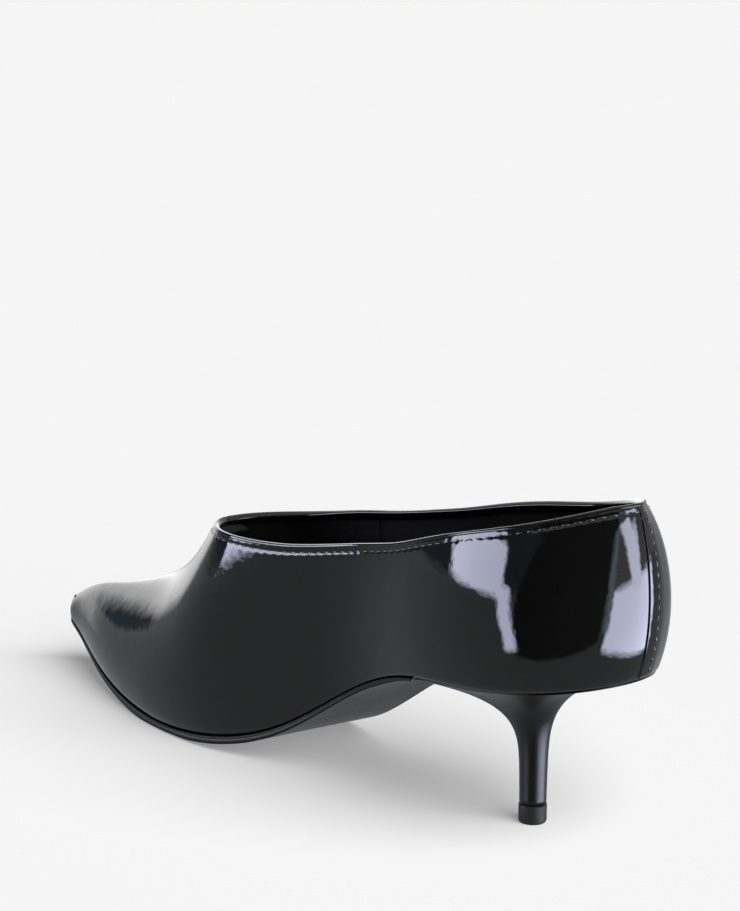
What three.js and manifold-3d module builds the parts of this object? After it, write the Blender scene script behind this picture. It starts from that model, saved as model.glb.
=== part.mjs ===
// A pointed patent leather pump for the left foot, on a slim mid-height heel.
//
// Units are millimetres. Z is up and the shoe stands on z = 0 at its top piece and at its ball.
// The toe points along -Y and +X is the outer side of the foot. Distances along the shoe are
// stations, measured from the back of the heel seat towards the toe, so y = -station.
//
// The shape comes from one last, the solid form that a shoe is made round. The feather line is the
// rim of its bottom, and each column of its wall is one Bezier curve from the feather line up to the
// ridge that runs over the instep. Every layer of the shoe is that wall, set inwards by a depth.

import * as THREE from 'three';
import { mergeVertices } from 'three/addons/utils/BufferGeometryUtils.js';
import Module from 'manifold-3d';

const wasm = await Module();
wasm.setup();

// ---------------------------------------------------------------- driving sizes

const LAST_LENGTH = 260.4; // heel seat to toe tip
const SEAT_HEIGHT = 51.1; // back of the heel seat above the floor
const BALL_HEIGHT = 2.7; // feather line above the floor at the ball
const TOE_SPRING = 12.5; // rise of the toe tip over the ball
const ARCH_TILT = 2.0; // how far the outer edge of the arch stands over its middle
const WIDTH_SCALE = 1.0; // 1 is the nominal width fitting
const INSTEP_SCALE = 1.0; // 1 is the nominal instep
const TOPLINE_RAISE = 0.0; // added to the height of the topline all round
const QUARTER_DROP = 2.4; // the outer quarter is cut this much lower, the inner as much higher

const CLEARANCE = 0.3; // gap between two pieces that touch
const LEATHER = 1.0; // patent leather of the upper
const STIFFENER = 0.6; // toe puff, heel counter and tapes
const LINING = 0.6;
const BINDING = 0.6; // leather that binds the topline
const BINDING_DEPTH = 2.0; // how far the binding reaches down outside
const LASTING_MARGIN = 14; // leather turned under the insole
const LAP = 0.8; // lapped leather over the back seam
const LAP_INNER = 9; // how far the lap reaches round the inner side
const LAP_OUTER = 1.6; // and past the middle on the outer side
const THREAD_RADIUS = 0.25;
const TOPLINE_STITCH_DROP = 4.4; // stitch row below the edge
const LAP_STITCH_INSET = 2.0; // stitch row inside the edge of the lap

const INSOLE = 1.5;
const SHANK_BOARD = 1.5;
const SHANK_BOARD_END = 132; // station of its skived front end
const INSOLE_STEP_RUN = 16; // over which the insole comes down off the shank board
const PAD = 2.0;
const SOCK = 0.8;
const HEEL_PAD_FRONT = 48;
const FORE_PAD_ENDS = [146, 214];
const SOCK_TOE_GAP = 24; // sock ends this far from the toe tip
const LINING_TOE_GAP = 17;
const FILLER_TOE_GAP = 34;
const PUFF_TOE_GAP = 7;
const PUFF_LENGTH = 42;
const COUNTER_LENGTH = 84;
const COUNTER_DROP = 20; // top of the heel counter below the topline
const TAPE_WIDTH = 5.5;
const LINING_JOIN = 118; // station where the vamp lining meets the quarter lining

const OUTSOLE = 2.4;
const WAIST_SOLE = 1.7;
const SOLE_WELT = 0.8; // how far the outsole stands out past the feather line
const HEEL_BREAST = 62; // station where the heel's seat ends at the sides
const BREAST_GAP = 1.2;

const HEEL_CENTRE = 38; // station of the middle of the stem
const STEM_RADIUS = 4.0;
const HEEL_FLARE = 7; // the higher, the more suddenly the stem spreads into the seat
const SEAT_INSET = 0.5;
const TOP_PIECE_RADIUS = 4.15;
const TOP_PIECE_HEIGHT = 5.7;
const DOWEL_RADIUS = 1.2;
const DOWEL_TOP = 20;
const PIN_OUTER = 2.4;
const PIN_INNER = 1.5;
const PIN_TOP = 31;

const SHANK_ENDS = [26, 128];
const SHANK_WIDTH = 10;
const SHANK_STEEL = 0.8;
const RIVET_STATIONS = [64, 116];
const SCREW = { radius: 1.6, head: 3.2, headHeight: 1.0, length: 13 };
const NAIL = { radius: 0.7, head: 1.5, headHeight: 0.6, length: 9.5 };
const NAIL_OFFSET = 7.2; // nails stand in a square this far from the stem's middle each way
const RIVET = { radius: 1.1, head: 2.0, headHeight: 0.5, length: 2.0 };
const TACK = { radius: 0.5, head: 1.2, headHeight: 0.5, length: 3.9 };
const TACK_STATIONS = [14, 70, 100];
const TACK_INSET = 7;

// ---------------------------------------------------------------- small mathematics

const smooth = (t) => THREE.MathUtils.smoothstep(t, 0, 1);
const between = THREE.MathUtils.lerp;

// Gaussian elimination with row swaps, for the small systems of the splines.
function solve(matrix, right) {
  const rows = matrix.map((row, i) => [...row, right[i]]);
  const n = rows.length;
  for (let i = 0; i < n; i += 1) {
    let best = i;
    for (let k = i + 1; k < n; k += 1) {
      if (Math.abs(rows[k][i]) > Math.abs(rows[best][i])) best = k;
    }
    [rows[i], rows[best]] = [rows[best], rows[i]];
    for (let k = 0; k < n; k += 1) {
      if (k === i) continue;
      const factor = rows[k][i] / rows[i][i];
      for (let j = i; j <= n; j += 1) rows[k][j] -= factor * rows[i][j];
    }
  }
  return rows.map((row, i) => row[n] / row[i]);
}

// One span of a cubic spline between two points, from their values and second derivatives.
function span(x0, x1, y0, y1, m0, m1, x) {
  const h = x1 - x0;
  const a = (x1 - x) / h;
  const b = (x - x0) / h;
  return a * y0 + b * y1 + (((a ** 3 - a) * m0 + (b ** 3 - b) * m1) * h * h) / 6;
}

// Natural cubic spline through points, held at its end values outside them.
function spline(xs, ys) {
  const n = xs.length;
  const matrix = xs.map(() => new Array(n).fill(0));
  const right = new Array(n).fill(0);
  matrix[0][0] = 1;
  matrix[n - 1][n - 1] = 1;
  for (let i = 1; i < n - 1; i += 1) {
    const before = xs[i] - xs[i - 1];
    const after = xs[i + 1] - xs[i];
    matrix[i][i - 1] = before;
    matrix[i][i] = 2 * (before + after);
    matrix[i][i + 1] = after;
    right[i] = 6 * ((ys[i + 1] - ys[i]) / after - (ys[i] - ys[i - 1]) / before);
  }
  const m = solve(matrix, right);
  return (value) => {
    const x = THREE.MathUtils.clamp(value, xs[0], xs[n - 1]);
    let i = 0;
    while (i < n - 2 && x > xs[i + 1]) i += 1;
    return span(xs[i], xs[i + 1], ys[i], ys[i + 1], m[i], m[i + 1], x);
  };
}

// Closed cubic spline: the curve and its first two derivatives join up after one period.
function loopSpline(xs, ys, period) {
  const n = xs.length;
  const at = (i) => xs[((i % n) + n) % n] + Math.floor(i / n) * period;
  const matrix = xs.map(() => new Array(n).fill(0));
  const right = new Array(n).fill(0);
  for (let i = 0; i < n; i += 1) {
    const before = at(i) - at(i - 1);
    const after = at(i + 1) - at(i);
    const last = (i + n - 1) % n;
    const next = (i + 1) % n;
    matrix[i][last] += before;
    matrix[i][i] += 2 * (before + after);
    matrix[i][next] += after;
    right[i] = 6 * ((ys[next] - ys[i]) / after - (ys[i] - ys[last]) / before);
  }
  const m = solve(matrix, right);
  return (value) => {
    const x = ((value % period) + period) % period;
    let i = 0;
    while (i < n - 1 && x > xs[i + 1]) i += 1;
    const next = (i + 1) % n;
    return span(at(i), at(i + 1), ys[i], ys[next], m[i], m[next], x);
  };
}

// Where a rising function of 0..1 passes zero, or 1 where it never does.
function crossing(rise) {
  if (rise(1) <= 0) return 1;
  let low = 0;
  let high = 1;
  for (let i = 0; i < 40; i += 1) {
    const middle = (low + high) / 2;
    if (rise(middle) > 0) high = middle;
    else low = middle;
  }
  return (low + high) / 2;
}

// ---------------------------------------------------------------- the last

// The turn runs from 0 at the middle of the heel to 1 at the toe tip, on either side.
const shareOf = (turn) => (1 - Math.cos(Math.PI * turn)) / 2;
const turnOf = (station) => Math.acos(1 - (2 * station) / LAST_LENGTH) / Math.PI;

const OUTLINE_SHARES = [0.04, 0.14, 0.247, 0.362, 0.478, 0.585, 0.723, 0.862, 0.954];
const OUTER_HALF = [21, 28.6, 25, 17.7, 19.4, 23.3, 19.3, 6.9, -4.2];
const INNER_HALF = [19.5, 27.7, 26, 22, 24.8, 31, 34, 27.5, 17.5];
const TOE_TIP_X = -10;

const outlineTurns = OUTLINE_SHARES.map((share) => Math.acos(1 - 2 * share) / Math.PI);
const outlineX = loopSpline(
  [0, ...outlineTurns, 1, ...outlineTurns.map((turn) => 2 - turn).reverse()],
  [0, ...OUTER_HALF, TOE_TIP_X, ...INNER_HALF.map((half) => -half).reverse()].map(
    (x) => x * WIDTH_SCALE,
  ),
  2,
);
const rimX = (side, turn) => outlineX(side > 0 ? turn : 2 - turn);

const HEIGHT_SHARES = [0, 0.144, 0.247, 0.362, 0.478, 0.604, 0.739, 0.885, 1];
const seatRise = spline(HEIGHT_SHARES, [1, 0.896, 0.824, 0.556, 0.171, 0.005, 0, 0, 0]);
const springRise = spline(HEIGHT_SHARES, [0, 0, 0, 0, 0, 0, 0, 0.41, 1]);
const tiltRise = spline(HEIGHT_SHARES, [0, 0.05, 0.27, 0.95, 1, 0.43, 0.09, 0, 0]);
const wallBulge = spline(HEIGHT_SHARES, [8.9, 8.6, 5.4, 4.5, 5.8, 7.9, 6.6, 4.3, 1.2]);
const ridgeBreadth = spline(HEIGHT_SHARES, [0.79, 0.58, 0.54, 0.55, 0.53, 0.53, 0.44, 0.42, 0.42]);

const RIDGE_SHARES = [0.021, 0.163, 0.316, 0.432, 0.508, 0.585, 0.662, 0.77, 0.877, 0.954, 0.988];
const ridgeRise = spline(
  RIDGE_SHARES,
  [54.3, 69.5, 75.8, 100.7, 99.9, 85.1, 60, 39.8, 27.5, 16.7, 9.6],
);
const ridgeX = spline(RIDGE_SHARES, [0, 0, 0, 0, 2.2, 3.3, 2, -1.2, -5, -8.3, -9.4]);
const RIDGE_BACK = 5.4; // the ridge line starts this far before the back of the seat
const RIDGE_FRONT = 3.0; // and ends this far short of the toe tip

const TOPLINE_SHARES = [0.021, 0.105, 0.201, 0.297, 0.393, 0.489, 0.585, 0.66];
const toplineRise = spline(TOPLINE_SHARES, [50, 46.7, 43.6, 43.5, 51.9, 62.6, 66.3, 67.2]);

const clampShare = (station) => THREE.MathUtils.clamp(station / LAST_LENGTH, 0, 1);

// Height of the last's bottom at a station, on the middle line.
function seatLine(station) {
  const share = clampShare(station);
  const seat = (SEAT_HEIGHT - BALL_HEIGHT) * seatRise(share);
  return BALL_HEIGHT + seat + TOE_SPRING * springRise(share);
}

// Height of the last's bottom, with the arch's tilt from its inner to its outer edge.
function bottomHeight(side, turn, reach, station) {
  const tilt = ARCH_TILT * tiltRise(clampShare(station));
  return seatLine(station) + side * reach * Math.sin(Math.PI * turn) * tilt;
}

// Point of the feather line.
function feather(side, turn) {
  const station = LAST_LENGTH * shareOf(turn);
  const z = bottomHeight(side, turn, 1, station);
  return new THREE.Vector3(rimX(side, turn), -station, z);
}

// Point of the ridge line that belongs to a turn.
function ridge(station) {
  const share = station / LAST_LENGTH;
  const z = seatLine(station) + ridgeRise(share) * INSTEP_SCALE;
  return new THREE.Vector3(ridgeX(share) * WIDTH_SCALE, -station, z);
}

const ridgeStation = (turn) => between(RIDGE_BACK, LAST_LENGTH - RIDGE_FRONT, shareOf(turn));

// The four control points of a wall column.
function column(side, turn) {
  const step = 1e-4;
  const foot = feather(side, turn);
  const before = feather(side, turn - step);
  const after = feather(side, turn + step);
  const out = new THREE.Vector3(before.y - after.y, after.x - before.x, 0);
  out.normalize().multiplyScalar(side);
  const station = ridgeStation(turn);
  const top = ridge(station);
  const slope = ridge(station + 0.5).z - ridge(station - 0.5).z;
  const share = shareOf(turn);
  const low = foot.clone().addScaledVector(out, wallBulge(share));
  low.z += 0.45 * (top.z - foot.z);
  const high = top.clone();
  const breadth = ridgeBreadth(share);
  high.x += (foot.x - top.x) * breadth;
  high.y += (foot.y - top.y) * breadth;
  high.z -= slope * (foot.y - top.y) * breadth;
  return [foot, low, high, top];
}

// Point of the wall: the turn says which column, the rise runs from 0 at its foot to 1 at the ridge.
function wall(side, turn, rise) {
  const [foot, low, high, top] = column(side, turn);
  const fall = 1 - rise;
  return new THREE.Vector3()
    .addScaledVector(foot, fall ** 3)
    .addScaledVector(low, 3 * fall * fall * rise)
    .addScaledVector(high, 3 * fall * rise * rise)
    .addScaledVector(top, rise ** 3);
}

// Outward normal of the wall.
function wallNormal(side, turn, rise) {
  const step = 1e-3;
  const along = wall(side, turn + step, rise);
  along.sub(wall(side, turn - step, rise));
  const up = wall(side, turn, Math.min(rise + step, 1));
  up.sub(wall(side, turn, Math.max(rise - step, 0)));
  return up.cross(along).normalize().multiplyScalar(side);
}

// Point at a depth inside the wall; a negative depth stands outside it.
function layer(side, turn, rise, depth) {
  return wall(side, turn, rise).addScaledVector(wallNormal(side, turn, rise), -depth);
}

// Height of the cut edge of the upper at a station.
function topline(side, station) {
  const share = clampShare(station);
  const drop = smooth((share - 0.12) / 0.18) * (1 - smooth((share - 0.46) / 0.16));
  return seatLine(station) + toplineRise(share) + TOPLINE_RAISE - side * QUARTER_DROP * drop;
}

// Rise at which a column passes a given distance below the topline.
function toplineCut(side, turn, below = 0) {
  return crossing((rise) => {
    const point = wall(side, turn, rise);
    return point.z - topline(side, -point.y) + below;
  });
}

// Turn at which the ridge passes a given distance below the topline: the throat of the shoe.
function throatTurn(below = 0) {
  return crossing((turn) => {
    const point = ridge(ridgeStation(turn));
    return topline(1, -point.y) - below - point.z;
  });
}

// Rise at which a layer stands a given height over the last's bottom.
function heightCut(side, turn, depth, height) {
  const target = feather(side, turn).z + height;
  return crossing((rise) => layer(side, turn, rise, depth).z - target);
}

// ---------------------------------------------------------------- the last's bottom

const SPINE_BACK = 24; // the bottom's rays start from a spine that begins here
const SPINE_FRONT = 16; // and stops this far short of the toe tip

const spineStation = (turn) => {
  return between(SPINE_BACK, LAST_LENGTH - SPINE_FRONT, shareOf(turn));
};

// A ray of the bottom from the spine to the feather line.
function ray(side, turn) {
  const middle = (rimX(1, turn) + rimX(-1, turn)) / 2;
  const spine = new THREE.Vector3(middle, -spineStation(turn), 0);
  const rim = feather(side, turn).setZ(0);
  return { spine, rim, length: spine.distanceTo(rim) };
}

// The share of a ray that is left when the rim is set in by a distance.
function reachAt(side, turn, inset) {
  return Math.max(1 - inset / ray(side, turn).length, 0.3);
}

// Point of the bottom at a share of a ray, a height above the last's bottom.
function bottom(side, turn, reach, height) {
  const { spine, rim } = ray(side, turn);
  const point = spine.clone().lerp(rim, reach);
  point.z = bottomHeight(side, turn, reach, -point.y) + height(-point.y);
  return point;
}

const level = (height) => () => height;

// ---------------------------------------------------------------- closing sheets into solids

const keyOf = (point) => point.toArray().map((value) => Math.round(value * 1e3)).join();

function signedVolume(points, triangles) {
  const cross = new THREE.Vector3();
  return triangles.reduce((sum, [a, b, c]) => {
    return sum + points[a].dot(cross.crossVectors(points[b], points[c])) / 6;
  }, 0);
}

// Makes a geometry from points and triangles, with its faces turned outwards.
function geometryOf(points, triangles) {
  const turned = signedVolume(points, triangles) < 0;
  const geometry = new THREE.BufferGeometry();
  const numbers = points.flatMap((point) => point.toArray());
  geometry.setAttribute('position', new THREE.Float32BufferAttribute(numbers, 3));
  geometry.setIndex(triangles.flatMap(([a, b, c]) => (turned ? [a, c, b] : [a, b, c])));
  geometry.computeVertexNormals();
  return geometry;
}

// Closes a sheet, given as patches of cells, into one solid. Each cell holds the place that it is
// known by, so that patches join where they share places, and its points on the two faces.
function closeSheet(patches) {
  const ids = new Map();
  const faces = [[], []];
  const idOf = (cell) => {
    const key = keyOf(cell.place);
    if (!ids.has(key)) {
      ids.set(key, ids.size);
      faces[0].push(cell.one);
      faces[1].push(cell.two);
    }
    return ids.get(key);
  };
  const sheet = [];
  const addTriangle = (a, b, c) => {
    if (a !== b && b !== c && c !== a) sheet.push([a, b, c]);
  };
  for (const { grid, side } of patches) {
    const id = grid.map((cells) => cells.map(idOf));
    for (let i = 0; i < id.length - 1; i += 1) {
      for (let j = 0; j < id[i].length - 1; j += 1) {
        const corners = [id[i][j], id[i][j + 1], id[i + 1][j + 1], id[i + 1][j]];
        if (side < 0) corners.reverse();
        const [a, b, c, d] = side < 0 ? [corners[3], corners[0], corners[1], corners[2]] : corners;
        addTriangle(a, b, c);
        addTriangle(a, c, d);
      }
    }
  }
  const count = faces[0].length;
  const edges = new Set(sheet.flatMap(([a, b, c]) => [`${a},${b}`, `${b},${c}`, `${c},${a}`]));
  const triangles = [...sheet, ...sheet.map(([a, b, c]) => [c + count, b + count, a + count])];
  for (const edge of edges) {
    const [a, b] = edge.split(',').map(Number);
    if (edges.has(`${b},${a}`)) continue;
    triangles.push([b, a, a + count], [b, a + count, b + count]);
  }
  return geometryOf([...faces[0], ...faces[1]], triangles);
}

// Joins rings of points into a closed loop, or into a bar with flat fans on its ends.
function joinRings(rings, loop) {
  const size = rings[0].length;
  const points = rings.flat();
  const triangles = [];
  const links = loop ? rings.length : rings.length - 1;
  for (let i = 0; i < links; i += 1) {
    const here = i * size;
    const next = ((i + 1) % rings.length) * size;
    for (let j = 0; j < size; j += 1) {
      const k = (j + 1) % size;
      triangles.push([here + j, here + k, next + k], [here + j, next + k, next + j]);
    }
  }
  if (!loop) {
    const addFan = (ring, start, flip) => {
      const middle = new THREE.Vector3();
      ring.forEach((point) => middle.addScaledVector(point, 1 / size));
      points.push(middle);
      for (let j = 0; j < size; j += 1) {
        const pair = [start + j, start + ((j + 1) % size)];
        if (flip) pair.reverse();
        triangles.push([pair[1], pair[0], points.length - 1]);
      }
    };
    addFan(rings[0], 0, false);
    addFan(rings.at(-1), (rings.length - 1) * size, true);
  }
  return geometryOf(points, triangles);
}

// A body turned round an upright line, from a profile of [radius, height] pairs. The lean tips its
// top towards the toe.
function turned(profile, place, segments, lean = 0) {
  const outline = profile.map(([radius, height]) => new THREE.Vector2(radius, height));
  const lathe = new THREE.LatheGeometry(outline, segments).rotateX(Math.PI / 2 + lean);
  lathe.translate(place.x, place.y, place.z);
  lathe.deleteAttribute('normal');
  lathe.deleteAttribute('uv');
  const merged = mergeVertices(lathe, 1e-4);
  const { array } = merged.attributes.position;
  const points = [];
  for (let i = 0; i < array.length; i += 3) points.push(new THREE.Vector3().fromArray(array, i));
  const triangles = [];
  for (let i = 0; i < merged.index.count; i += 3) {
    const [a, b, c] = merged.index.array.slice(i, i + 3);
    if (a !== b && b !== c && c !== a) triangles.push([a, b, c]);
  }
  return geometryOf(points, triangles);
}

function toSolid(geometry) {
  return new wasm.Manifold(
    new wasm.Mesh({
      numProp: 3,
      vertProperties: new Float32Array(geometry.attributes.position.array),
      triVerts: new Uint32Array(geometry.index.array),
    }),
  );
}

// Cuts tools out of a body.
function drill(geometry, tools) {
  let solid = toSolid(geometry);
  for (const tool of tools) solid = solid.subtract(toSolid(tool));
  const mesh = solid.getMesh();
  const cut = new THREE.BufferGeometry();
  cut.setAttribute('position', new THREE.BufferAttribute(mesh.vertProperties, 3));
  cut.setIndex(new THREE.BufferAttribute(mesh.triVerts, 1));
  cut.computeVertexNormals();
  return cut;
}

// ---------------------------------------------------------------- grids on the last

// Turns between two stations, evenly spread, with both ends exact.
function turnsBetween(from, to, count) {
  return Array.from({ length: count + 1 }, (_, i) => between(from, to, i / count));
}

const throat = throatTurn();
const QUARTER_COLUMNS = 13;
const VAMP_COLUMNS = 8;
const UPPER_ROWS = 13;
const stitchTurn = throatTurn(TOPLINE_STITCH_DROP);
const TAPE_EDGE = TAPE_WIDTH + 0.8;
const tapeTurn = throatTurn(TAPE_EDGE);

// Evenly eased columns draw together at the back and, most of all, at the throat, where the
// topline turns across the ridge.
const easedTurns = [
  ...turnsBetween(0, 1, QUARTER_COLUMNS).map((t) => {
    const eased = t * (2 - t);
    return throat * eased * (0.45 + 0.55 * eased);
  }),
  ...turnsBetween(0, 1, VAMP_COLUMNS).map((t) => between(tapeTurn, 1, t ** 1.2)),
];

// A piece that ends part way along ends on a column of its own, which all the pieces share, so
// that the facets of neighbouring layers match.
const fillerEnds = [SHANK_ENDS[1] + 3, LAST_LENGTH - FILLER_TOE_GAP];
const endTurns = [
  HEEL_PAD_FRONT,
  HEEL_BREAST,
  HEEL_BREAST + BREAST_GAP,
  COUNTER_LENGTH,
  LINING_JOIN,
  SHANK_BOARD_END,
  ...FORE_PAD_ENDS,
  ...fillerEnds,
  LAST_LENGTH - PUFF_TOE_GAP - PUFF_LENGTH,
  LAST_LENGTH - PUFF_TOE_GAP,
  LAST_LENGTH - LINING_TOE_GAP,
  LAST_LENGTH - SOCK_TOE_GAP,
].map(turnOf);
const throatTurns = [throat - 0.002, throat - 0.0005, throat, stitchTurn, tapeTurn];
const clearOf = (ends, least) => (turn) => ends.every((end) => Math.abs(end - turn) > least);
const allTurns = [
  ...endTurns,
  ...throatTurns,
  ...easedTurns.filter(clearOf(endTurns, 0.008)).filter(clearOf(throatTurns, 0.0012)),
].sort((a, b) => a - b);
const quarterTurns = allTurns.filter((turn) => turn <= throat);

// Rises between two cuts, drawn together towards the ridge, where the wall curves most.
function risesBetween(low, high, count) {
  return turnsBetween(0, 1, count).map((t) => between(low, high, 1 - (1 - t) ** 1.5));
}

// The common columns that lie between two turns, with the two ends added.
function columnsBetween(from, to) {
  const least = 1e-4;
  const inside = allTurns.filter((turn) => turn > from + least && turn < to - least);
  return [from, ...inside, to];
}

// Columns of a band that runs round the throat, drawn together where its edge meets the ridge.
function bandColumns(end) {
  const front = [1, 2, 3, 4].map((k) => between(throat, end, (k / 4) * (2 - k / 4)));
  return [...quarterTurns, ...front];
}

// A patch of a wall layer on one side, between a lower and an upper cut.
function wallPatch(side, turns, low, high, rows, outerDepth, innerDepth) {
  const grid = turns.map((turn) => {
    const foot = low(side, turn);
    const head = Math.max(high(side, turn), foot);
    return risesBetween(foot, head, rows).map((rise) => ({
      place: wall(side, turn, rise),
      one: layer(side, turn, rise, outerDepth),
      two: layer(side, turn, rise, innerDepth),
    }));
  });
  return { grid, side };
}

function wallLayer(turns, low, high, rows, outerDepth, innerDepth) {
  const patches = [1, -1].map((side) => {
    return wallPatch(side, turns, low, high, rows, outerDepth, innerDepth);
  });
  return closeSheet(patches);
}

// A plate of the bottom between two turns, its rim set in, between two heights over the last's bottom.
function plate(turns, reachOf, lower, upper, rays = [0, 0.55, 0.85, 1]) {
  const patches = [1, -1].map((side) => ({
    side,
    grid: turns.map((turn) => {
      const rim = reachOf(side, turn);
      return rays.map((part) => ({
        place: bottom(side, turn, rim * part, level(0)),
        one: bottom(side, turn, rim * part, lower),
        two: bottom(side, turn, rim * part, upper),
      }));
    }),
  }));
  return closeSheet(patches);
}

const setIn = (inset) => (side, turn) => reachAt(side, turn, inset);

// ---------------------------------------------------------------- depths and heights of the layers

const STIFFENER_OUT = LEATHER + CLEARANCE;
const STIFFENER_IN = STIFFENER_OUT + STIFFENER;
const LINING_OUT = STIFFENER_IN + CLEARANCE;
const LINING_IN = LINING_OUT + LINING;

const BOARD_LEVEL = LEATHER + CLEARANCE;
const overShankBoard = (station) => {
  const fall = (station - SHANK_BOARD_END - 1) / INSOLE_STEP_RUN;
  return (SHANK_BOARD + CLEARANCE) * (1 - smooth(fall));
};
const insoleUnder = (station) => BOARD_LEVEL + overShankBoard(station);
const insoleTop = (station) => insoleUnder(station) + INSOLE;
const padUnder = (station) => insoleTop(station) + CLEARANCE;

// How much of a pad's thickness lies under a station: 1 over the pad, falling to 0 past its ends.
function overPad(station, from, to) {
  const margin = 3.5;
  const run = 9;
  const back = smooth((station - from + margin + run) / run);
  const front = smooth((to + margin + run - station) / run);
  return back * front;
}
const heelPadMiddle = spineStation(turnOf(HEEL_PAD_FRONT)); // its front reaches furthest here
const sockUnder = (station) => {
  const pads = overPad(station, -LAST_LENGTH, heelPadMiddle) + overPad(station, ...FORE_PAD_ENDS);
  return padUnder(station) + (PAD + CLEARANCE) * Math.min(pads, 1);
};

const LAYER_SEAT = CLEARANCE + 0.1; // wall layers stand this far over the insole
const layerFoot = (depth) => (side, turn) => {
  const station = LAST_LENGTH * shareOf(turn);
  return heightCut(side, turn, depth, insoleTop(station) + LAYER_SEAT);
};
const edge = (below) => (side, turn) => toplineCut(side, turn, below);

// ---------------------------------------------------------------- materials

function finish(color, roughness, metalness = 0) {
  return new THREE.MeshStandardMaterial({ color, roughness, metalness });
}
const patent = () => finish(0x0b0b0c, 0.12);
const liningLeather = () => finish(0x171717, 0.7);
const board = () => finish(0xa8814f, 0.9);
const felt = () => finish(0xd8d2c4, 0.9);
const foam = () => finish(0xe6dfc9, 0.95);
const steel = () => finish(0x9a9da1, 0.35, 0.9);
const soleBlack = () => finish(0x1a1a1b, 0.45);
const thread = () => finish(0x101010, 0.6);

const pump = new THREE.Group();
function add(name, geometry, material) {
  const mesh = new THREE.Mesh(geometry, material);
  mesh.name = name;
  pump.add(mesh);
  return mesh;
}

// ---------------------------------------------------------------- fasteners and what they pass through

// Profile of a headed fastener from its tip up, with the top of its head at 0. It is grown by a
// clearance where it is a drill, which also clears what lies over the head.
function fastenerProfile({ radius, head, headHeight, length }, grow) {
  const over = grow ? 6 : 0;
  return [
    [0, -length - grow],
    [radius + grow, radius - length - grow],
    [radius + grow, -headHeight - grow],
    [head + grow, -headHeight - grow],
    [head + grow, over],
    [0, over],
  ];
}

// A fastener square to the last's bottom, and the drill that makes room for it.
function fastener(kind, place, segments) {
  const station = -place.y;
  const lean = Math.atan((seatLine(station - 1) - seatLine(station + 1)) / 2);
  const make = (grow) => turned(fastenerProfile(kind, grow), place, segments, lean);
  return { body: make(0), tool: make(CLEARANCE) };
}

const HEAD_SINK = 0.3; // heads lie this far under the face of their board
const onInsole = (x, station) => {
  return new THREE.Vector3(x, -station, seatLine(station) + insoleTop(station) - HEAD_SINK);
};

const heelScrew = fastener(SCREW, onInsole(0, HEEL_CENTRE), 14);
const heelNails = [
  [1, 1],
  [-1, 1],
  [1, -1],
  [-1, -1],
].map(([across, along]) => {
  return fastener(NAIL, onInsole(across * NAIL_OFFSET, HEEL_CENTRE + along * NAIL_OFFSET), 10);
});

// Tacks pin the turned-under leather to the boards.
const lastingTacks = TACK_STATIONS.flatMap((station) => {
  return [1, -1].map((side) => {
    const turn = turnOf(station);
    const place = bottom(side, turn, reachAt(side, turn, TACK_INSET), insoleTop);
    place.z -= HEAD_SINK;
    return fastener(TACK, place, 8);
  });
});

const shankRivets = RIVET_STATIONS.map((station) => {
  const face = seatLine(station) + BOARD_LEVEL + SHANK_BOARD;
  return fastener(RIVET, new THREE.Vector3(0, -station, face - HEAD_SINK), 10);
});

const toolsOf = (items) => items.map((item) => item.tool);
const seatTools = toolsOf([heelScrew, ...heelNails]);

// ---------------------------------------------------------------- the upper and what is fixed to it

// Whole-cut upper: the wall up to the topline, and the margin that is turned under the insole.
function upperLeather() {
  const patches = [1, -1].map((side) => {
    const grid = allTurns.map((turn) => {
      const under = bottom(side, turn, reachAt(side, turn, LASTING_MARGIN), level(0));
      const cornerReach = reachAt(side, turn, LEATHER * 0.8);
      const inner = { place: under, one: under, two: under.clone().setZ(under.z + LEATHER) };
      const foot = feather(side, turn);
      const corner = bottom(side, turn, cornerReach, level(LEATHER));
      const low = heightCut(side, turn, LEATHER, 2.4 * LEATHER);
      const rises = risesBetween(low, Math.max(toplineCut(side, turn), low), UPPER_ROWS);
      const cells = rises.map((rise) => ({
        place: wall(side, turn, rise),
        one: wall(side, turn, rise),
        two: layer(side, turn, rise, LEATHER),
      }));
      return [inner, { place: foot, one: foot, two: corner }, ...cells];
    });
    return { grid, side };
  });
  return drill(closeSheet(patches), toolsOf(lastingTacks));
}

// The edge of one quarter lies over the other at the back and is stitched down.
function backLap() {
  const depths = [-CLEARANCE - LAP, -CLEARANCE];
  const low = (side, turn) => heightCut(side, turn, 0, 0.6);
  const high = edge(TOPLINE_STITCH_DROP + 1.1);
  const reach = { 1: turnAtWidth(LAP_OUTER), [-1]: turnAtWidth(LAP_INNER) };
  const patches = [1, -1].map((side) => {
    return wallPatch(side, columnsBetween(0, reach[side]), low, high, 8, ...depths);
  });
  return closeSheet(patches);
}

// Turn at which the heel's outline is a given distance from its middle.
function turnAtWidth(width) {
  return crossing((turn) => rimX(1, turn * 0.2) - width) * 0.2;
}

// Points round a loop on both sides of the last, with their outward and upward directions.
function loopFrames(turns, riseOf) {
  const stops = [
    ...turns.map((turn) => [1, turn]),
    ...turns.slice(1, -1).reverse().map((turn) => [-1, turn]),
  ];
  const points = stops.map(([side, turn]) => wall(side, turn, riseOf(side, turn)));
  const count = stops.length;
  return stops.map(([side, turn], i) => {
    const rise = riseOf(side, turn);
    const out = wallNormal(side, turn, rise);
    const shared = turn === turns[0] || turn === turns.at(-1);
    if (shared) out.add(wallNormal(-side, turn, rise)).normalize();
    const along = points[(i + 1) % count].clone().sub(points[(i + count - 1) % count]).normalize();
    const up = along.clone().cross(out).normalize();
    return { point: points[i], out, up };
  });
}

const sectionPoint = ({ point, out, up }, depth, height) => {
  return point.clone().addScaledVector(out, -depth).addScaledVector(up, height);
};

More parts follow.
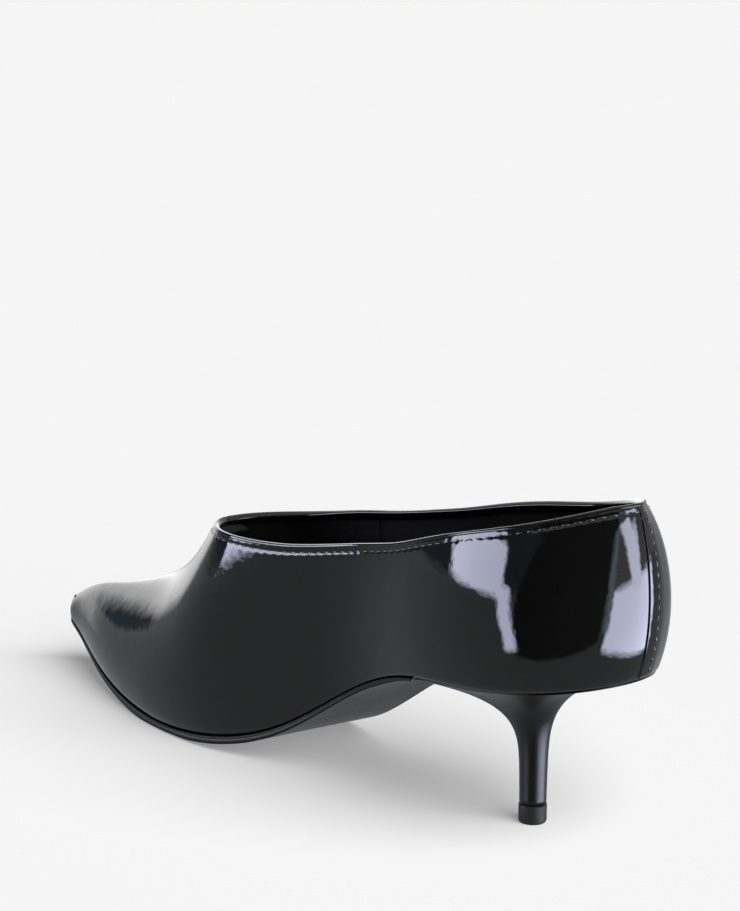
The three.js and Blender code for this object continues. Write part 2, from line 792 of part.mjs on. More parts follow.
// Folded strip that wraps the cut edge from the outside to the lining.
function toplineBinding() {
  const outside = -CLEARANCE - BINDING;
  const inside = LINING_IN + CLEARANCE + 0.05;
  const top = CLEARANCE + BINDING;
  const section = [
    [outside, -BINDING_DEPTH],
    [outside, top],
    [inside + BINDING, top],
    [inside + BINDING, -BINDING_DEPTH],
    [inside, -BINDING_DEPTH],
    [inside, CLEARANCE],
    [-CLEARANCE, CLEARANCE],
    [-CLEARANCE, -BINDING_DEPTH],
  ];
  const frames = loopFrames(quarterTurns, edge(0));
  const rings = frames.map((frame) => section.map(([depth, up]) => sectionPoint(frame, depth, up)));
  return joinRings(rings, true);
}

const threadSection = [0, 1, 2, 3, 4].map((k) => {
  const angle = (k / 5) * 2 * Math.PI;
  return [THREAD_RADIUS * Math.cos(angle), THREAD_RADIUS * Math.sin(angle)];
});

// Sewing thread of the topline, one closed run round the shoe.
function toplineThread() {
  const turns = bandColumns(stitchTurn);
  const frames = loopFrames(turns, edge(TOPLINE_STITCH_DROP));
  const depth = -CLEARANCE - THREAD_RADIUS;
  const rings = frames.map((frame) => {
    return threadSection.map(([a, b]) => sectionPoint(frame, depth + a, b));
  });
  return joinRings(rings, true);
}

// Sewing thread of the back seam, which holds the lap down.
function backSeamThread() {
  const turn = turnAtWidth(LAP_STITCH_INSET);
  const low = heightCut(-1, turn, 0, 3);
  const high = toplineCut(-1, turn, TOPLINE_STITCH_DROP + 2.5);
  const depth = -2 * CLEARANCE - LAP - THREAD_RADIUS;
  const rings = turnsBetween(low, high, 14).map((rise) => {
    const frame = { point: wall(-1, turn, rise), out: wallNormal(-1, turn, rise) };
    frame.up = new THREE.Vector3(1, 0, 0);
    return threadSection.map(([a, b]) => sectionPoint(frame, depth + a, b));
  });
  return joinRings(rings, false);
}

add('upper_outer', upperLeather(), patent());
add('back_seam_lap', backLap(), patent());
add('topline_binding', toplineBinding(), patent());
add('topline_thread', toplineThread(), thread());
add('back_seam_thread', backSeamThread(), thread());

// ---------------------------------------------------------------- stiffeners, tapes and linings

const puffTurns = columnsBetween(
  turnOf(LAST_LENGTH - PUFF_TOE_GAP - PUFF_LENGTH),
  turnOf(LAST_LENGTH - PUFF_TOE_GAP),
);
const counterTurns = columnsBetween(0, turnOf(COUNTER_LENGTH));
const stiffenerFoot = layerFoot(STIFFENER_IN);
const toRidge = () => 1;

add(
  'toe_puff',
  wallLayer(puffTurns, stiffenerFoot, toRidge, UPPER_ROWS - 1, STIFFENER_OUT, STIFFENER_IN),
  felt(),
);
add(
  'heel_counter',
  wallLayer(counterTurns, stiffenerFoot, edge(COUNTER_DROP), 6, STIFFENER_OUT, STIFFENER_IN),
  board(),
);
add(
  'topline_tape',
  wallLayer(bandColumns(tapeTurn), edge(TAPE_EDGE), edge(0.8), 3, STIFFENER_OUT, STIFFENER_IN),
  felt(),
);
add(
  'back_seam_tape',
  wallLayer(
    columnsBetween(0, turnAtWidth(7)),
    edge(COUNTER_DROP - 0.5),
    edge(TAPE_WIDTH + 1.4),
    2,
    STIFFENER_OUT,
    STIFFENER_IN,
  ),
  felt(),
);

const joinTurn = turnOf(LINING_JOIN);
const joinHalfGap = 0.0015; // of a turn, about 0.4 mm in all
const liningFoot = layerFoot(LINING_IN);
add(
  'quarter_lining',
  wallLayer(
    columnsBetween(0, joinTurn - joinHalfGap),
    liningFoot,
    edge(0),
    UPPER_ROWS - 1,
    LINING_OUT,
    LINING_IN,
  ),
  liningLeather(),
);
add(
  'vamp_lining',
  wallLayer(
    columnsBetween(joinTurn + joinHalfGap, turnOf(LAST_LENGTH - LINING_TOE_GAP)),
    liningFoot,
    edge(0),
    UPPER_ROWS - 1,
    LINING_OUT,
    LINING_IN,
  ),
  liningLeather(),
);

// ---------------------------------------------------------------- insole unit

const BOARD_INSET = LEATHER + CLEARANCE + 0.3;
const SOCK_INSET = LINING_IN + 2 * CLEARANCE;
const PAD_INSET = SOCK_INSET + 1.5;
const shankTop = BOARD_LEVEL - CLEARANCE;

add(
  'insole_board',
  drill(plate(allTurns, setIn(BOARD_INSET), insoleUnder, insoleTop), [
    ...seatTools,
    ...toolsOf(lastingTacks),
  ]),
  board(),
);
add(
  'shank_board',
  drill(
    plate(
      columnsBetween(0, turnOf(SHANK_BOARD_END)),
      setIn(BOARD_INSET),
      level(BOARD_LEVEL),
      level(BOARD_LEVEL + SHANK_BOARD),
    ),
    [...seatTools, ...toolsOf(lastingTacks), ...toolsOf(shankRivets)],
  ),
  board(),
);

// Spring steel strip down the middle of the arch, lying between the turned-under margins.
function steelShank() {
  const half = SHANK_WIDTH / 2;
  const section = [
    [-half, 0],
    [half, 0],
    [half, -SHANK_STEEL],
    [-half, -SHANK_STEEL],
  ];
  const [back, front] = SHANK_ENDS;
  const inside = allTurns.map(spineStation).filter((s) => s > back + 1 && s < front - 1);
  const rings = [back, ...inside, front].map((station) => {
    const turn = turnOf(station);
    const middle = (rimX(1, turn) + rimX(-1, turn)) / 2;
    const halfWidth = (rimX(1, turn) - rimX(-1, turn)) / 2;
    return section.map(([x, down]) => {
      const z = bottomHeight(1, turn, x / halfWidth, station) + shankTop + down;
      return new THREE.Vector3(middle + x, -station, z);
    });
  });
  return drill(joinRings(rings, false), [heelScrew.tool, ...toolsOf(shankRivets)]);
}
add('steel_shank', steelShank(), steel());

shankRivets.forEach((rivet, i) => {
  add(['shank_rivet_rear', 'shank_rivet_front'][i], rivet.body, steel());
});
add('heel_screw', heelScrew.body, steel());
heelNails.forEach((nail, i) => add(`heel_nail_${i + 1}`, nail.body, steel()));
lastingTacks.forEach((tack, i) => add(`lasting_tack_${i + 1}`, tack.body, steel()));

for (const [name, from, to] of [
  ['heel_pad', 0, HEEL_PAD_FRONT],
  ['forefoot_pad', ...FORE_PAD_ENDS],
]) {
  const turns = columnsBetween(turnOf(from), turnOf(to));
  const padTop = (station) => padUnder(station) + PAD;
  add(name, plate(turns, setIn(PAD_INSET), padUnder, padTop), foam());
}

const sockTurns = columnsBetween(0, turnOf(LAST_LENGTH - SOCK_TOE_GAP));
const sockTop = (station) => sockUnder(station) + SOCK;
add('sock_lining', plate(sockTurns, setIn(SOCK_INSET), sockUnder, sockTop), liningLeather());

// ---------------------------------------------------------------- bottom: filler and outsole

const fillerTurns = columnsBetween(...fillerEnds.map(turnOf));
const insideMargin = (side, turn) => reachAt(side, turn, LASTING_MARGIN + 2 * CLEARANCE);
add(
  'bottom_filler',
  plate(fillerTurns, insideMargin, level(0.1), level(LEATHER - 0.1)),
  finish(0x8a6a44, 0.95),
);

const SOLE_SEAT = CLEARANCE + 0.1; // the sole lies this far under the turned-in leather

// Thin leather sole, flattened where it stands on the floor at the ball.
function outsoleLeather() {
  const turns = columnsBetween(turnOf(HEEL_BREAST + BREAST_GAP), 1);
  const thickness = (station) => {
    return between(WAIST_SOLE, OUTSOLE, smooth((station - HEEL_BREAST - 30) / 50));
  };
  const rays = [0, 0.55, 0.85, 1];
  const patches = [1, -1].map((side) => ({
    side,
    grid: turns.map((turn) => {
      const rim = reachAt(side, turn, -SOLE_WELT);
      return rays.map((part) => {
        const upper = bottom(side, turn, rim * part, level(-SOLE_SEAT));
        const lower = upper.clone();
        lower.z = Math.max(upper.z - thickness(-upper.y), 0);
        return { place: upper, one: lower, two: upper };
      });
    }),
  }));
  return closeSheet(patches);
}
add('outsole', outsoleLeather(), soleBlack());

// ---------------------------------------------------------------- heel

const STEM_FOOT = TOP_PIECE_HEIGHT + CLEARANCE;

// Rim of the heel's seat: round the back of the feather line, then across the breast.
function seatOutline() {
  const end = turnOf(HEEL_BREAST);
  const rimTurns = turnsBetween(0, end, 8);
  const lift = level(-CLEARANCE - 0.05);
  const at = (side, turn, part) => {
    return bottom(side, turn, reachAt(side, turn, SEAT_INSET) * part, lift);
  };
  return [
    ...rimTurns.map((turn) => at(1, turn, 1)),
    at(1, end, 0.66),
    at(1, end, 0.33),
    at(1, end, 0),
    at(-1, end, 0.33),
    at(-1, end, 0.66),
    ...rimTurns.slice(1).reverse().map((turn) => at(-1, turn, 1)),
  ];
}

// Moulded heel: the seat's outline sweeps in to a slim round stem.
function heelBlock() {
  const outline = seatOutline();
  const centre = new THREE.Vector3(0, -HEEL_CENTRE, 0);
  const levels = [0, 0.012, 0.03, 0.055, 0.09, 0.14, 0.2, 0.28, 0.4, 0.6, 0.8, 1];
  const rings = levels.map((down) => {
    const spread = (1 - down) ** HEEL_FLARE;
    return outline.map((seat) => {
      const away = new THREE.Vector3(seat.x, seat.y + HEEL_CENTRE, 0).normalize();
      const point = centre.clone().addScaledVector(away, STEM_RADIUS);
      point.lerp(new THREE.Vector3(seat.x, seat.y, 0), spread);
      point.z = between(seat.z, STEM_FOOT, down);
      return point;
    });
  });
  const bore = PIN_OUTER + CLEARANCE;
  const boreProfile = [
    [0, -1],
    [bore, -1],
    [bore, PIN_TOP + CLEARANCE],
    [0, PIN_TOP + CLEARANCE],
  ];
  const boreTool = turned(boreProfile, centre, 18);
  return drill(joinRings(rings, false), [boreTool, ...seatTools]);
}
add('heel_block', heelBlock(), patent());

const heelFoot = new THREE.Vector3(0, -HEEL_CENTRE, 0);

// Steel tube that stiffens the stem.
const pinFoot = STEM_FOOT + 0.2;
const pinProfile = [
  [PIN_INNER, pinFoot],
  [PIN_OUTER, pinFoot],
  [PIN_OUTER, PIN_TOP],
  [PIN_INNER, PIN_TOP],
  [PIN_INNER, pinFoot],
];
add('heel_pin', turned(pinProfile, heelFoot, 18), steel());

// Wearing end of the heel, with the dowel that holds it in the tube.
const dowelFoot = 2;
const socket = DOWEL_RADIUS + CLEARANCE;
const rounding = 0.5;
const topPieceProfile = [
  [0, 0],
  [TOP_PIECE_RADIUS - rounding, 0],
  [TOP_PIECE_RADIUS, rounding],
  [TOP_PIECE_RADIUS, TOP_PIECE_HEIGHT],
  [socket, TOP_PIECE_HEIGHT],
  [socket, dowelFoot - CLEARANCE],
  [0, dowelFoot - CLEARANCE],
];
const dowelProfile = [
  [0, dowelFoot],
  [DOWEL_RADIUS, dowelFoot],
  [DOWEL_RADIUS, DOWEL_TOP - 1],
  [DOWEL_RADIUS * 0.6, DOWEL_TOP],
  [0, DOWEL_TOP],
];
add('top_piece', turned(topPieceProfile, heelFoot, 28), finish(0x161616, 0.6));
add('top_piece_dowel', turned(dowelProfile, heelFoot, 12), steel());

// ---------------------------------------------------------------- place in the part's own frame

// The origin is the middle of the shoe's box, on the floor.
const box = new THREE.Box3().setFromObject(pump);
const middle = box.getCenter(new THREE.Vector3());
pump.position.set(-middle.x, -middle.y, -box.min.z);

export default pump;
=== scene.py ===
"""A black patent leather pump for the left foot, pointed, with a high vamp, on a slim heel.

The toe points along -Y and the outer side of the foot is +X. Every layer of the shoe is worked out
from one last. Its sizes are in millimetres, and its meshes are in metres.
"""

import math

import bmesh
import bpy
import numpy as np
from mathutils import Matrix, Vector


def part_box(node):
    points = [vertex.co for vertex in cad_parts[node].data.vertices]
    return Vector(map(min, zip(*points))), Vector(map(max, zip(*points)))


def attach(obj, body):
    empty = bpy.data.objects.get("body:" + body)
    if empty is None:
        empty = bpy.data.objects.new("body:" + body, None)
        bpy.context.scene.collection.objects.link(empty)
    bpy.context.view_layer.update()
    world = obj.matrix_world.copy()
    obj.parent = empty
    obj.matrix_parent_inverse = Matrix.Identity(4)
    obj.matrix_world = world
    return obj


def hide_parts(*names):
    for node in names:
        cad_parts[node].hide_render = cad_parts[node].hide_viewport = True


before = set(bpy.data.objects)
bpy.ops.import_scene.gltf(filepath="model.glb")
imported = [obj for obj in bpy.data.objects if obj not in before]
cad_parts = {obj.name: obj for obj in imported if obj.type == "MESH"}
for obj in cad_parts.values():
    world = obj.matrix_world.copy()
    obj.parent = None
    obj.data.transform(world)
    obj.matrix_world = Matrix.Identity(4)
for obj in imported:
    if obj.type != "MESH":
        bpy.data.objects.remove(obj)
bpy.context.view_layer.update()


# ------------------------------------------------------------------ the last
# A shoe is made round a last, a smooth wooden foot. The last is no part of the shoe, but every layer
# of leather takes its shape from it. A station is the distance forward of the back of the heel seat,
# and a turn runs from 0 at the middle of the heel to 1 at the toe tip, on either side. The few points
# of each curve below are the last's design, at shares of its length.

MM = 0.001
LAST_LENGTH = 260.4
SEAT_HEIGHT = 51.1
BALL_HEIGHT = 2.7
TOE_SPRING = 12.5
ARCH_TILT = 2.0
QUARTER_DROP = 2.4
TOE_TIP_X = -10
RIDGE_BACK = 5.4
RIDGE_FRONT = 3.0
WALL_LIFT = 0.45


def cubic(low, high, share):
    """Rises from 0 at low to 1 at high on a smooth step: three squares less two cubes."""
    t = np.clip((share - low) / (high - low), 0, 1)
    return t * t * (3 - 2 * t)


def natural_spline(xs, ys):
    """Cubic through points with no bend at its ends, held at its end values outside them."""
    xs, ys = np.array(xs, float), np.array(ys, float)
    gap = np.diff(xs)
    slope = np.diff(ys) / gap
    matrix = np.eye(len(xs))
    inner = np.arange(1, len(xs) - 1)
    matrix[inner, inner - 1] = gap[:-1]
    matrix[inner, inner] = 2 * (gap[:-1] + gap[1:])
    matrix[inner, inner + 1] = gap[1:]
    right = np.zeros(len(xs))
    right[1:-1] = 6 * (slope[1:] - slope[:-1])
    bend = np.linalg.solve(matrix, right)

    def value(x):
        x = np.clip(x, xs[0], xs[-1])
        i = np.clip(np.searchsorted(xs, x) - 1, 0, len(gap) - 1)
        a = (xs[i + 1] - x) / gap[i]
        b = 1 - a
        curve = (a**3 - a) * bend[i] + (b**3 - b) * bend[i + 1]
        return a * ys[i] + b * ys[i + 1] + curve * gap[i] ** 2 / 6

    return value


def loop_spline(xs, ys, period):
    """Closed cubic: the natural spline through the points and their copies a period either way."""
    xs = np.concatenate([np.array(xs) + shift for shift in (-period, 0, period)])
    around = natural_spline(xs, np.tile(ys, 3))
    return lambda x: around(np.mod(x, period))


def share_of(turn):
    """Share of the last's length: half of one less the cosine of half a circle per turn."""
    return (1 - np.cos(np.pi * turn)) / 2


def turn_at(station):
    return np.arccos(1 - 2 * np.clip(np.array(station, float) / LAST_LENGTH, 0, 1)) / np.pi


outline_shares = np.array([0.04, 0.14, 0.247, 0.362, 0.478, 0.585, 0.723, 0.862, 0.954])
outline_turns = turn_at(outline_shares * LAST_LENGTH)
outer_half = [21, 28.6, 25, 17.7, 19.4, 23.3, 19.3, 6.9, -4.2]
inner_half = [19.5, 27.7, 26, 22, 24.8, 31, 34, 27.5, 17.5]
outline_x = loop_spline(
    np.concatenate([[0], outline_turns, [1], 2 - outline_turns[::-1]]),
    np.concatenate([[0], outer_half, [TOE_TIP_X], -np.array(inner_half)[::-1]]),
    2,
)

height_shares = [0, 0.144, 0.247, 0.362, 0.478, 0.604, 0.739, 0.885, 1]
seat_rise = natural_spline(height_shares, [1, 0.896, 0.824, 0.556, 0.171, 0.005, 0, 0, 0])
spring_rise = natural_spline(height_shares, [0, 0, 0, 0, 0, 0, 0, 0.41, 1])
tilt_rise = natural_spline(height_shares, [0, 0.05, 0.27, 0.95, 1, 0.43, 0.09, 0, 0])
wall_bulge = natural_spline(height_shares, [8.9, 8.6, 5.4, 4.5, 5.8, 7.9, 6.6, 4.3, 1.2])
ridge_breadth = natural_spline(
    height_shares, [0.79, 0.58, 0.54, 0.55, 0.53, 0.53, 0.44, 0.42, 0.42]
)
ridge_shares = [0.021, 0.163, 0.316, 0.432, 0.508, 0.585, 0.662, 0.77, 0.877, 0.954, 0.988]
ridge_rise = natural_spline(
    ridge_shares, [54.3, 69.5, 75.8, 100.7, 99.9, 85.1, 60, 39.8, 27.5, 16.7, 9.6]
)
ridge_x = natural_spline(ridge_shares, [0, 0, 0, 0, 2.2, 3.3, 2, -1.2, -5, -8.3, -9.4])
topline_rise = natural_spline(
    [0.021, 0.105, 0.201, 0.297, 0.393, 0.489, 0.585, 0.66],
    [50, 46.7, 43.6, 43.5, 51.9, 62.6, 66.3, 67.2],
)


def seat_line(station):
    """Height of the last's bottom on its middle line: the ball, plus the seat, plus the toe spring."""
    share = np.clip(station / LAST_LENGTH, 0, 1)
    seat = (SEAT_HEIGHT - BALL_HEIGHT) * seat_rise(share)
    return BALL_HEIGHT + seat + TOE_SPRING * spring_rise(share)


def bottom_height(side, turn, reach, station):
    """The seat line, tilted up to the outer edge in the arch by a sine of the turn."""
    tilt = ARCH_TILT * tilt_rise(np.clip(station / LAST_LENGTH, 0, 1))
    return seat_line(station) + side * reach * np.sin(np.pi * turn) * tilt


def rim_x(side, turn):
    return outline_x(np.where(side > 0, turn, 2 - turn))


def feather(side, turn):
    """Rim of the last's bottom: across by the outline, back by the share, up by the bottom."""
    station = LAST_LENGTH * share_of(turn)
    height = bottom_height(side, turn, 1, station)
    return np.stack(np.broadcast_arrays(rim_x(side, turn), -station, height), -1)


def ridge(station):
    """Line over the instep where the two sides meet: its own height over the seat line."""
    share = station / LAST_LENGTH
    return np.stack([ridge_x(share), -station, seat_line(station) + ridge_rise(share)], -1)


def wall_columns(side, turn):
    """Control points of each column: its foot, out and up from it, towards it from the top, and the
    top, which lies on the ridge at a station of its own."""
    step = 1e-4
    share = share_of(turn)
    foot = feather(side, turn)
    run = feather(side, turn + step) - feather(side, turn - step)
    out = np.stack([-run[..., 1], run[..., 0], 0 * run[..., 0]], -1)
    out *= (side / np.linalg.norm(out, axis=-1))[..., None]
    station = RIDGE_BACK + (LAST_LENGTH - RIDGE_FRONT - RIDGE_BACK) * share
    top = ridge(station) + 0 * foot
    slope = ridge(station + 0.5)[..., 2] - ridge(station - 0.5)[..., 2]
    low = foot + out * wall_bulge(share)[..., None]
    low[..., 2] += WALL_LIFT * (top[..., 2] - foot[..., 2])
    lean = (foot - top) * ridge_breadth(share)[..., None]
    lean[..., 2] = -slope * lean[..., 1]
    return foot, low, top + lean, top


def wall(side, turn, rise):
    """Point of the last's wall: one Bezier curve per column, from its foot at 0 to the ridge at 1."""
    foot, low, high, top = wall_columns(side, turn)
    t = np.asarray(rise)[..., None]
    f = 1 - t
    return foot * f**3 + low * (3 * f * f * t) + high * (3 * f * t * t) + top * t**3


def wall_normal(side, turn, rise):
    """Outward direction: up the column crossed with along the wall, from small steps of each. Along
    is taken just short of the ridge, because at the toe tip the ridge has no length to step along."""
    step = 1e-3
    short = np.minimum(rise, 1 - step)
    along = wall(side, turn + step, short) - wall(side, turn - step, short)
    up = wall(side, turn, np.minimum(rise + step, 1)) - wall(side, turn, np.maximum(rise - step, 0))
    normal = np.cross(up, along)
    return normal * (side / np.linalg.norm(normal, axis=-1))[..., None]


def crossing(rise_of, shape=()):
    """Where a rising function of 0..1 passes nought, by halving its range, or 1 if it never does."""
    low, high = np.zeros(shape), np.ones(shape)
    never = rise_of(high) <= 0
    for _ in range(36):
        middle = (low + high) / 2
        over = rise_of(middle) > 0
        low, high = np.where(over, low, middle), np.where(over, middle, high)
    return np.where(never, 1.0, high)


def topline(side, station):
    """Height of the shoe's cut edge: its own rise over the seat line, lower on the outer side."""
    share = np.clip(station / LAST_LENGTH, 0, 1)
    drop = cubic(0.12, 0.30, share) * (1 - cubic(0.46, 0.62, share))
    return seat_line(station) + topline_rise(share) - side * QUARTER_DROP * drop


def topline_cut(side, turn, below=0.0):
    """Rise at which each column passes a distance below the topline."""

    def over(rise):
        point = wall(side, turn, rise)
        return point[..., 2] - topline(side, -point[..., 1]) + below

    return crossing(over, np.broadcast(side, turn).shape)


def ridge_over_topline(turn):
    station = RIDGE_BACK + (LAST_LENGTH - RIDGE_FRONT - RIDGE_BACK) * share_of(turn)
    return topline(1, station) - ridge(station)[..., 2]


throat = float(crossing(ridge_over_topline))


def round_the_shoe(quarter_columns, vamp_columns):
    """Columns right round the shoe: the outer side from heel to toe, then the inner side back. They
    draw together at the throat, where the topline turns across the ridge. Each is (side, turn)."""
    t = np.arange(quarter_columns) / quarter_columns
    u = np.arange(vamp_columns + 1) / vamp_columns
    quarter = throat * (1 - (1 - t) ** 1.7)
    vamp = throat + (1 - throat) * u**1.7
    turns = np.concatenate([quarter, vamp])
    sides = np.concatenate([np.ones(len(turns)), -np.ones(len(turns) - 2)])
    turns = np.concatenate([turns, turns[-2:0:-1]])
    return sides[:, None], turns[:, None]


# Where the last stands in the part's frame: the heel's top piece is 38 mm forward of its back.
HEEL_CENTRE = 38.0
top_piece_low, top_piece_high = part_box("top_piece")
last_origin = np.array((top_piece_low + top_piece_high) / 2) + [0, HEEL_CENTRE * MM, 0]
last_origin[2] = 0


# ------------------------------------------------------------------ the upper
# One whole-cut shell of black patent leather, 1 mm thick, pulled over the last and turned under its
# rim. Its surface is a thick clear film over a smooth split, so it mirrors with a faint orange peel.

LEATHER = 1.0
EDGE_LEATHER = 0.6
TURN_UNDER = 9.0
STITCH_DROP = 2.0
STITCH_PITCH = 3.4
GROOVE_DEPTH = 0.09
GROOVE_WIDTH = 0.55
EDGE_BAND = 12
EDGE_REACH = 14
FOOT_RISE = 0.012
UPPER_COLUMNS = (190, 110)
OUTER_ROWS = 74
INNER_ROWS = 26
ROW_EASE = 2.1


def grid_faces(rows, columns, around):
    """Quads between neighbouring rows and columns of a grid of points, joined round if asked."""
    i, j = np.meshgrid(np.arange(rows - 1 + around), np.arange(columns - 1), indexing="ij")
    k = (i + 1) % rows
    quads = [i * columns + j, i * columns + j + 1, k * columns + j + 1, k * columns + j]
    return np.stack(quads, -1).reshape(-1, 4)


def shoe_piece(name, grids, replaced, around=True, strips=(), fields=None):
    """Joins grids of points, in millimetres from the last, into one closed mesh in the part's frame,
    smooth, with its faces turned out. The strips are grids that never join round. fields gives a
    number for every point, by name."""
    grids = [*grids, *strips]
    points = np.concatenate([grid.reshape(-1, 3) for grid in grids])
    faces, start = [], 0
    for number, grid in enumerate(grids):
        joined = around and number < len(grids) - len(strips)
        faces.append(grid_faces(*grid.shape[:2], joined) + start)
        start += grid.shape[0] * grid.shape[1]
    mesh = bpy.data.meshes.new(name)
    mesh.from_pydata((points * MM + last_origin).tolist(), [], np.concatenate(faces).tolist())
    for field, values in (fields or {}).items():
        mesh.attributes.new(field, "FLOAT", "POINT").data.foreach_set("value", values.ravel())
    return finished_piece(name, mesh, replaced)


def finished_piece(name, mesh, replaced):
    """Merges a mesh's doubled points, turns its faces out, and fixes the piece to the shoe."""
    form = bmesh.new()
    form.from_mesh(mesh)
    bmesh.ops.remove_doubles(form, verts=form.verts, dist=2e-6)
    bmesh.ops.dissolve_degenerate(form, edges=form.edges, dist=1e-7)
    bmesh.ops.recalc_face_normals(form, faces=form.faces)
    if form.calc_volume(signed=True) < 0:
        bmesh.ops.reverse_faces(form, faces=form.faces)
    for face in form.faces:
        face.smooth = True
    form.to_mesh(mesh)
    form.free()
    piece = bpy.data.objects.new(name, mesh)
    bpy.context.scene.collection.objects.link(piece)
    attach(piece, "root")
    if replaced:
        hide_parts(*replaced)
    return piece


def nearest_on_line(points, line, within):
    """For every point: how far it lies from a closed line, and how far round the line that is. Points
    beyond the limit get the limit."""
    run = np.linalg.norm(np.roll(line, -1, 0) - line, axis=1)
    reach = np.concatenate([[0], np.cumsum(run)[:-1]])
    away = np.full(len(points), float(within))
    along = np.zeros(len(points))
    low, high = line.min(0) - within, line.max(0) + within
    near = np.flatnonzero(np.all((points > low) & (points < high), axis=1))
    for chunk in np.array_split(near, max(1, len(near) // 2000)):
        gap = points[chunk, None, :] - line[None]
        distance = np.sqrt((gap**2).sum(-1))
        best = distance.argmin(1)
        away[chunk] = np.minimum(distance[np.arange(len(chunk)), best], within)
        along[chunk] = reach[best]
    return away, along, reach[-1] + run[-1]


def rising(low, high, count, ease):
    """Rises from a lower to an upper cut in each column, drawn together towards the upper one."""
    t = 1 - (1 - np.arange(count + 1) / count) ** ease
    return low + (high - low) * t[None]


def met_at_ridge(points, turns):
    """Makes the two sides' last points one where their columns reach the ridge: their average."""
    met = points.copy()
    mirrored = np.roll(points[::-1, -1], 1, axis=0)
    on_ridge = turns[:, 0] >= throat
    met[on_ridge, -1] = (points[on_ridge, -1] + mirrored[on_ridge]) / 2
    return met


def edge_nearness(side, turn, rise):
    """1 at the topline, falling to 0 a band's width under it, by a smooth step of the height."""
    point = wall(side, turn, rise)
    under = topline(side, -point[..., 1]) - point[..., 2]
    return 1 - cubic(0, EDGE_BAND, under)


side, turn = round_the_shoe(1400, 4)
edge_line = wall(side, turn, topline_cut(side, turn))[:, 0]
edge_line = edge_line[turn[:, 0] <= throat]

side, turn = round_the_shoe(*UPPER_COLUMNS)
foot_cut = FOOT_RISE + 0 * turn
cut = topline_cut(side, turn)
outer_rise = rising(foot_cut, cut, OUTER_ROWS, ROW_EASE)
outer_skin = met_at_ridge(wall(side, turn, outer_rise), turn)

outer_points = outer_skin.reshape(-1, 3)
under_edge, along_edge, edge_length = nearest_on_line(outer_points, edge_line, EDGE_REACH)
stitch_count = round(edge_length / STITCH_PITCH)
groove = np.exp(-(((under_edge - STITCH_DROP) / GROOVE_WIDTH) ** 2)).reshape(outer_rise.shape)
outer_normal = wall_normal(side, turn, outer_rise)
outer_skin = met_at_ridge(outer_skin - outer_normal * (GROOVE_DEPTH * groove)[..., None], turn)

inner_rise = rising(foot_cut, cut, INNER_ROWS, ROW_EASE)
leather = LEATHER - (LEATHER - EDGE_LEATHER) * edge_nearness(side, turn, inner_rise)
inner_skin = wall(side, turn, inner_rise)
inner_skin -= wall_normal(side, turn, inner_rise) * leather[..., None]
inner_skin = met_at_ridge(inner_skin, turn)


def spine(side, turn):
    """Where the rays of the last's bottom start: midway between its rims, a little in from its ends."""
    station = 24 + (LAST_LENGTH - 16 - 24) * share_of(turn)
    middle = (rim_x(np.ones_like(turn), turn) + rim_x(-np.ones_like(turn), turn)) / 2
    return np.stack([middle, -station, 0 * station], -1)


def reach_at(side, turn, inset):
    """Share of each ray of the bottom that is left when its rim end is set in by a distance."""
    rim = feather(side, turn)[..., :2]
    length = np.linalg.norm(rim - spine(side, turn)[..., :2], axis=-1)
    return np.clip(1 - inset / length, 0.0, None)


def bottom(side, turn, reach, height):
    """Point of the last's bottom: a share of the way along the ray from the spine to the rim, and up
    by a height, which may be a function of the station."""
    rim = feather(side, turn)
    rim[..., 2] = 0
    start = spine(side, turn)
    point = start + (rim - start) * np.asarray(reach)[..., None]
    station = -point[..., 1]
    lift = height(station) if callable(height) else height
    point[..., 2] = bottom_height(side, turn, reach, station) + lift
    return point


def turned_under(inner):
    """The margin under the last: round the rim by a quarter circle, then straight in. The inner face
    lies a leather's thickness above the outer one."""
    inset = np.array([[TURN_UNDER, 6.0, 3.5, 1.8, 0.9, 0.35]])
    lift = np.array([[0.0, 0.0, 0.0, 0.0, 0.05, 0.18]])
    if inner:
        inset = inset + LEATHER * np.array([[0, 0, 0, 0.25, 0.6, 0.85]])
        lift = lift * 0.5 + LEATHER
    return bottom(side, turn, reach_at(side, turn, inset), lift)


outer_shell = np.concatenate([turned_under(False), outer_skin], axis=1)
inner_shell = np.concatenate([turned_under(True), inner_skin], axis=1)
rim_strip = np.stack([outer_shell[:, -1], inner_shell[:, -1]], axis=1)
in_vamp = np.flatnonzero(turn[:, 0] >= throat)
rim_strip = np.roll(rim_strip, -in_vamp[-1], axis=0)[: len(turn) - len(in_vamp) + 2]
foot_strip = np.stack([outer_shell[:, 0], inner_shell[:, 0]], axis=1)

shells = [outer_shell, inner_shell, foot_strip]
all_points = np.concatenate([grid.reshape(-1, 3) for grid in [*shells, rim_strip]])
under_edge, along_edge, edge_length = nearest_on_line(all_points, edge_line, EDGE_REACH)
upper = shoe_piece(
    "patent_upper",
    shells,
    ["upper_outer"],
    strips=[rim_strip],
    fields={"under_edge": under_edge, "along_edge": along_edge},
)


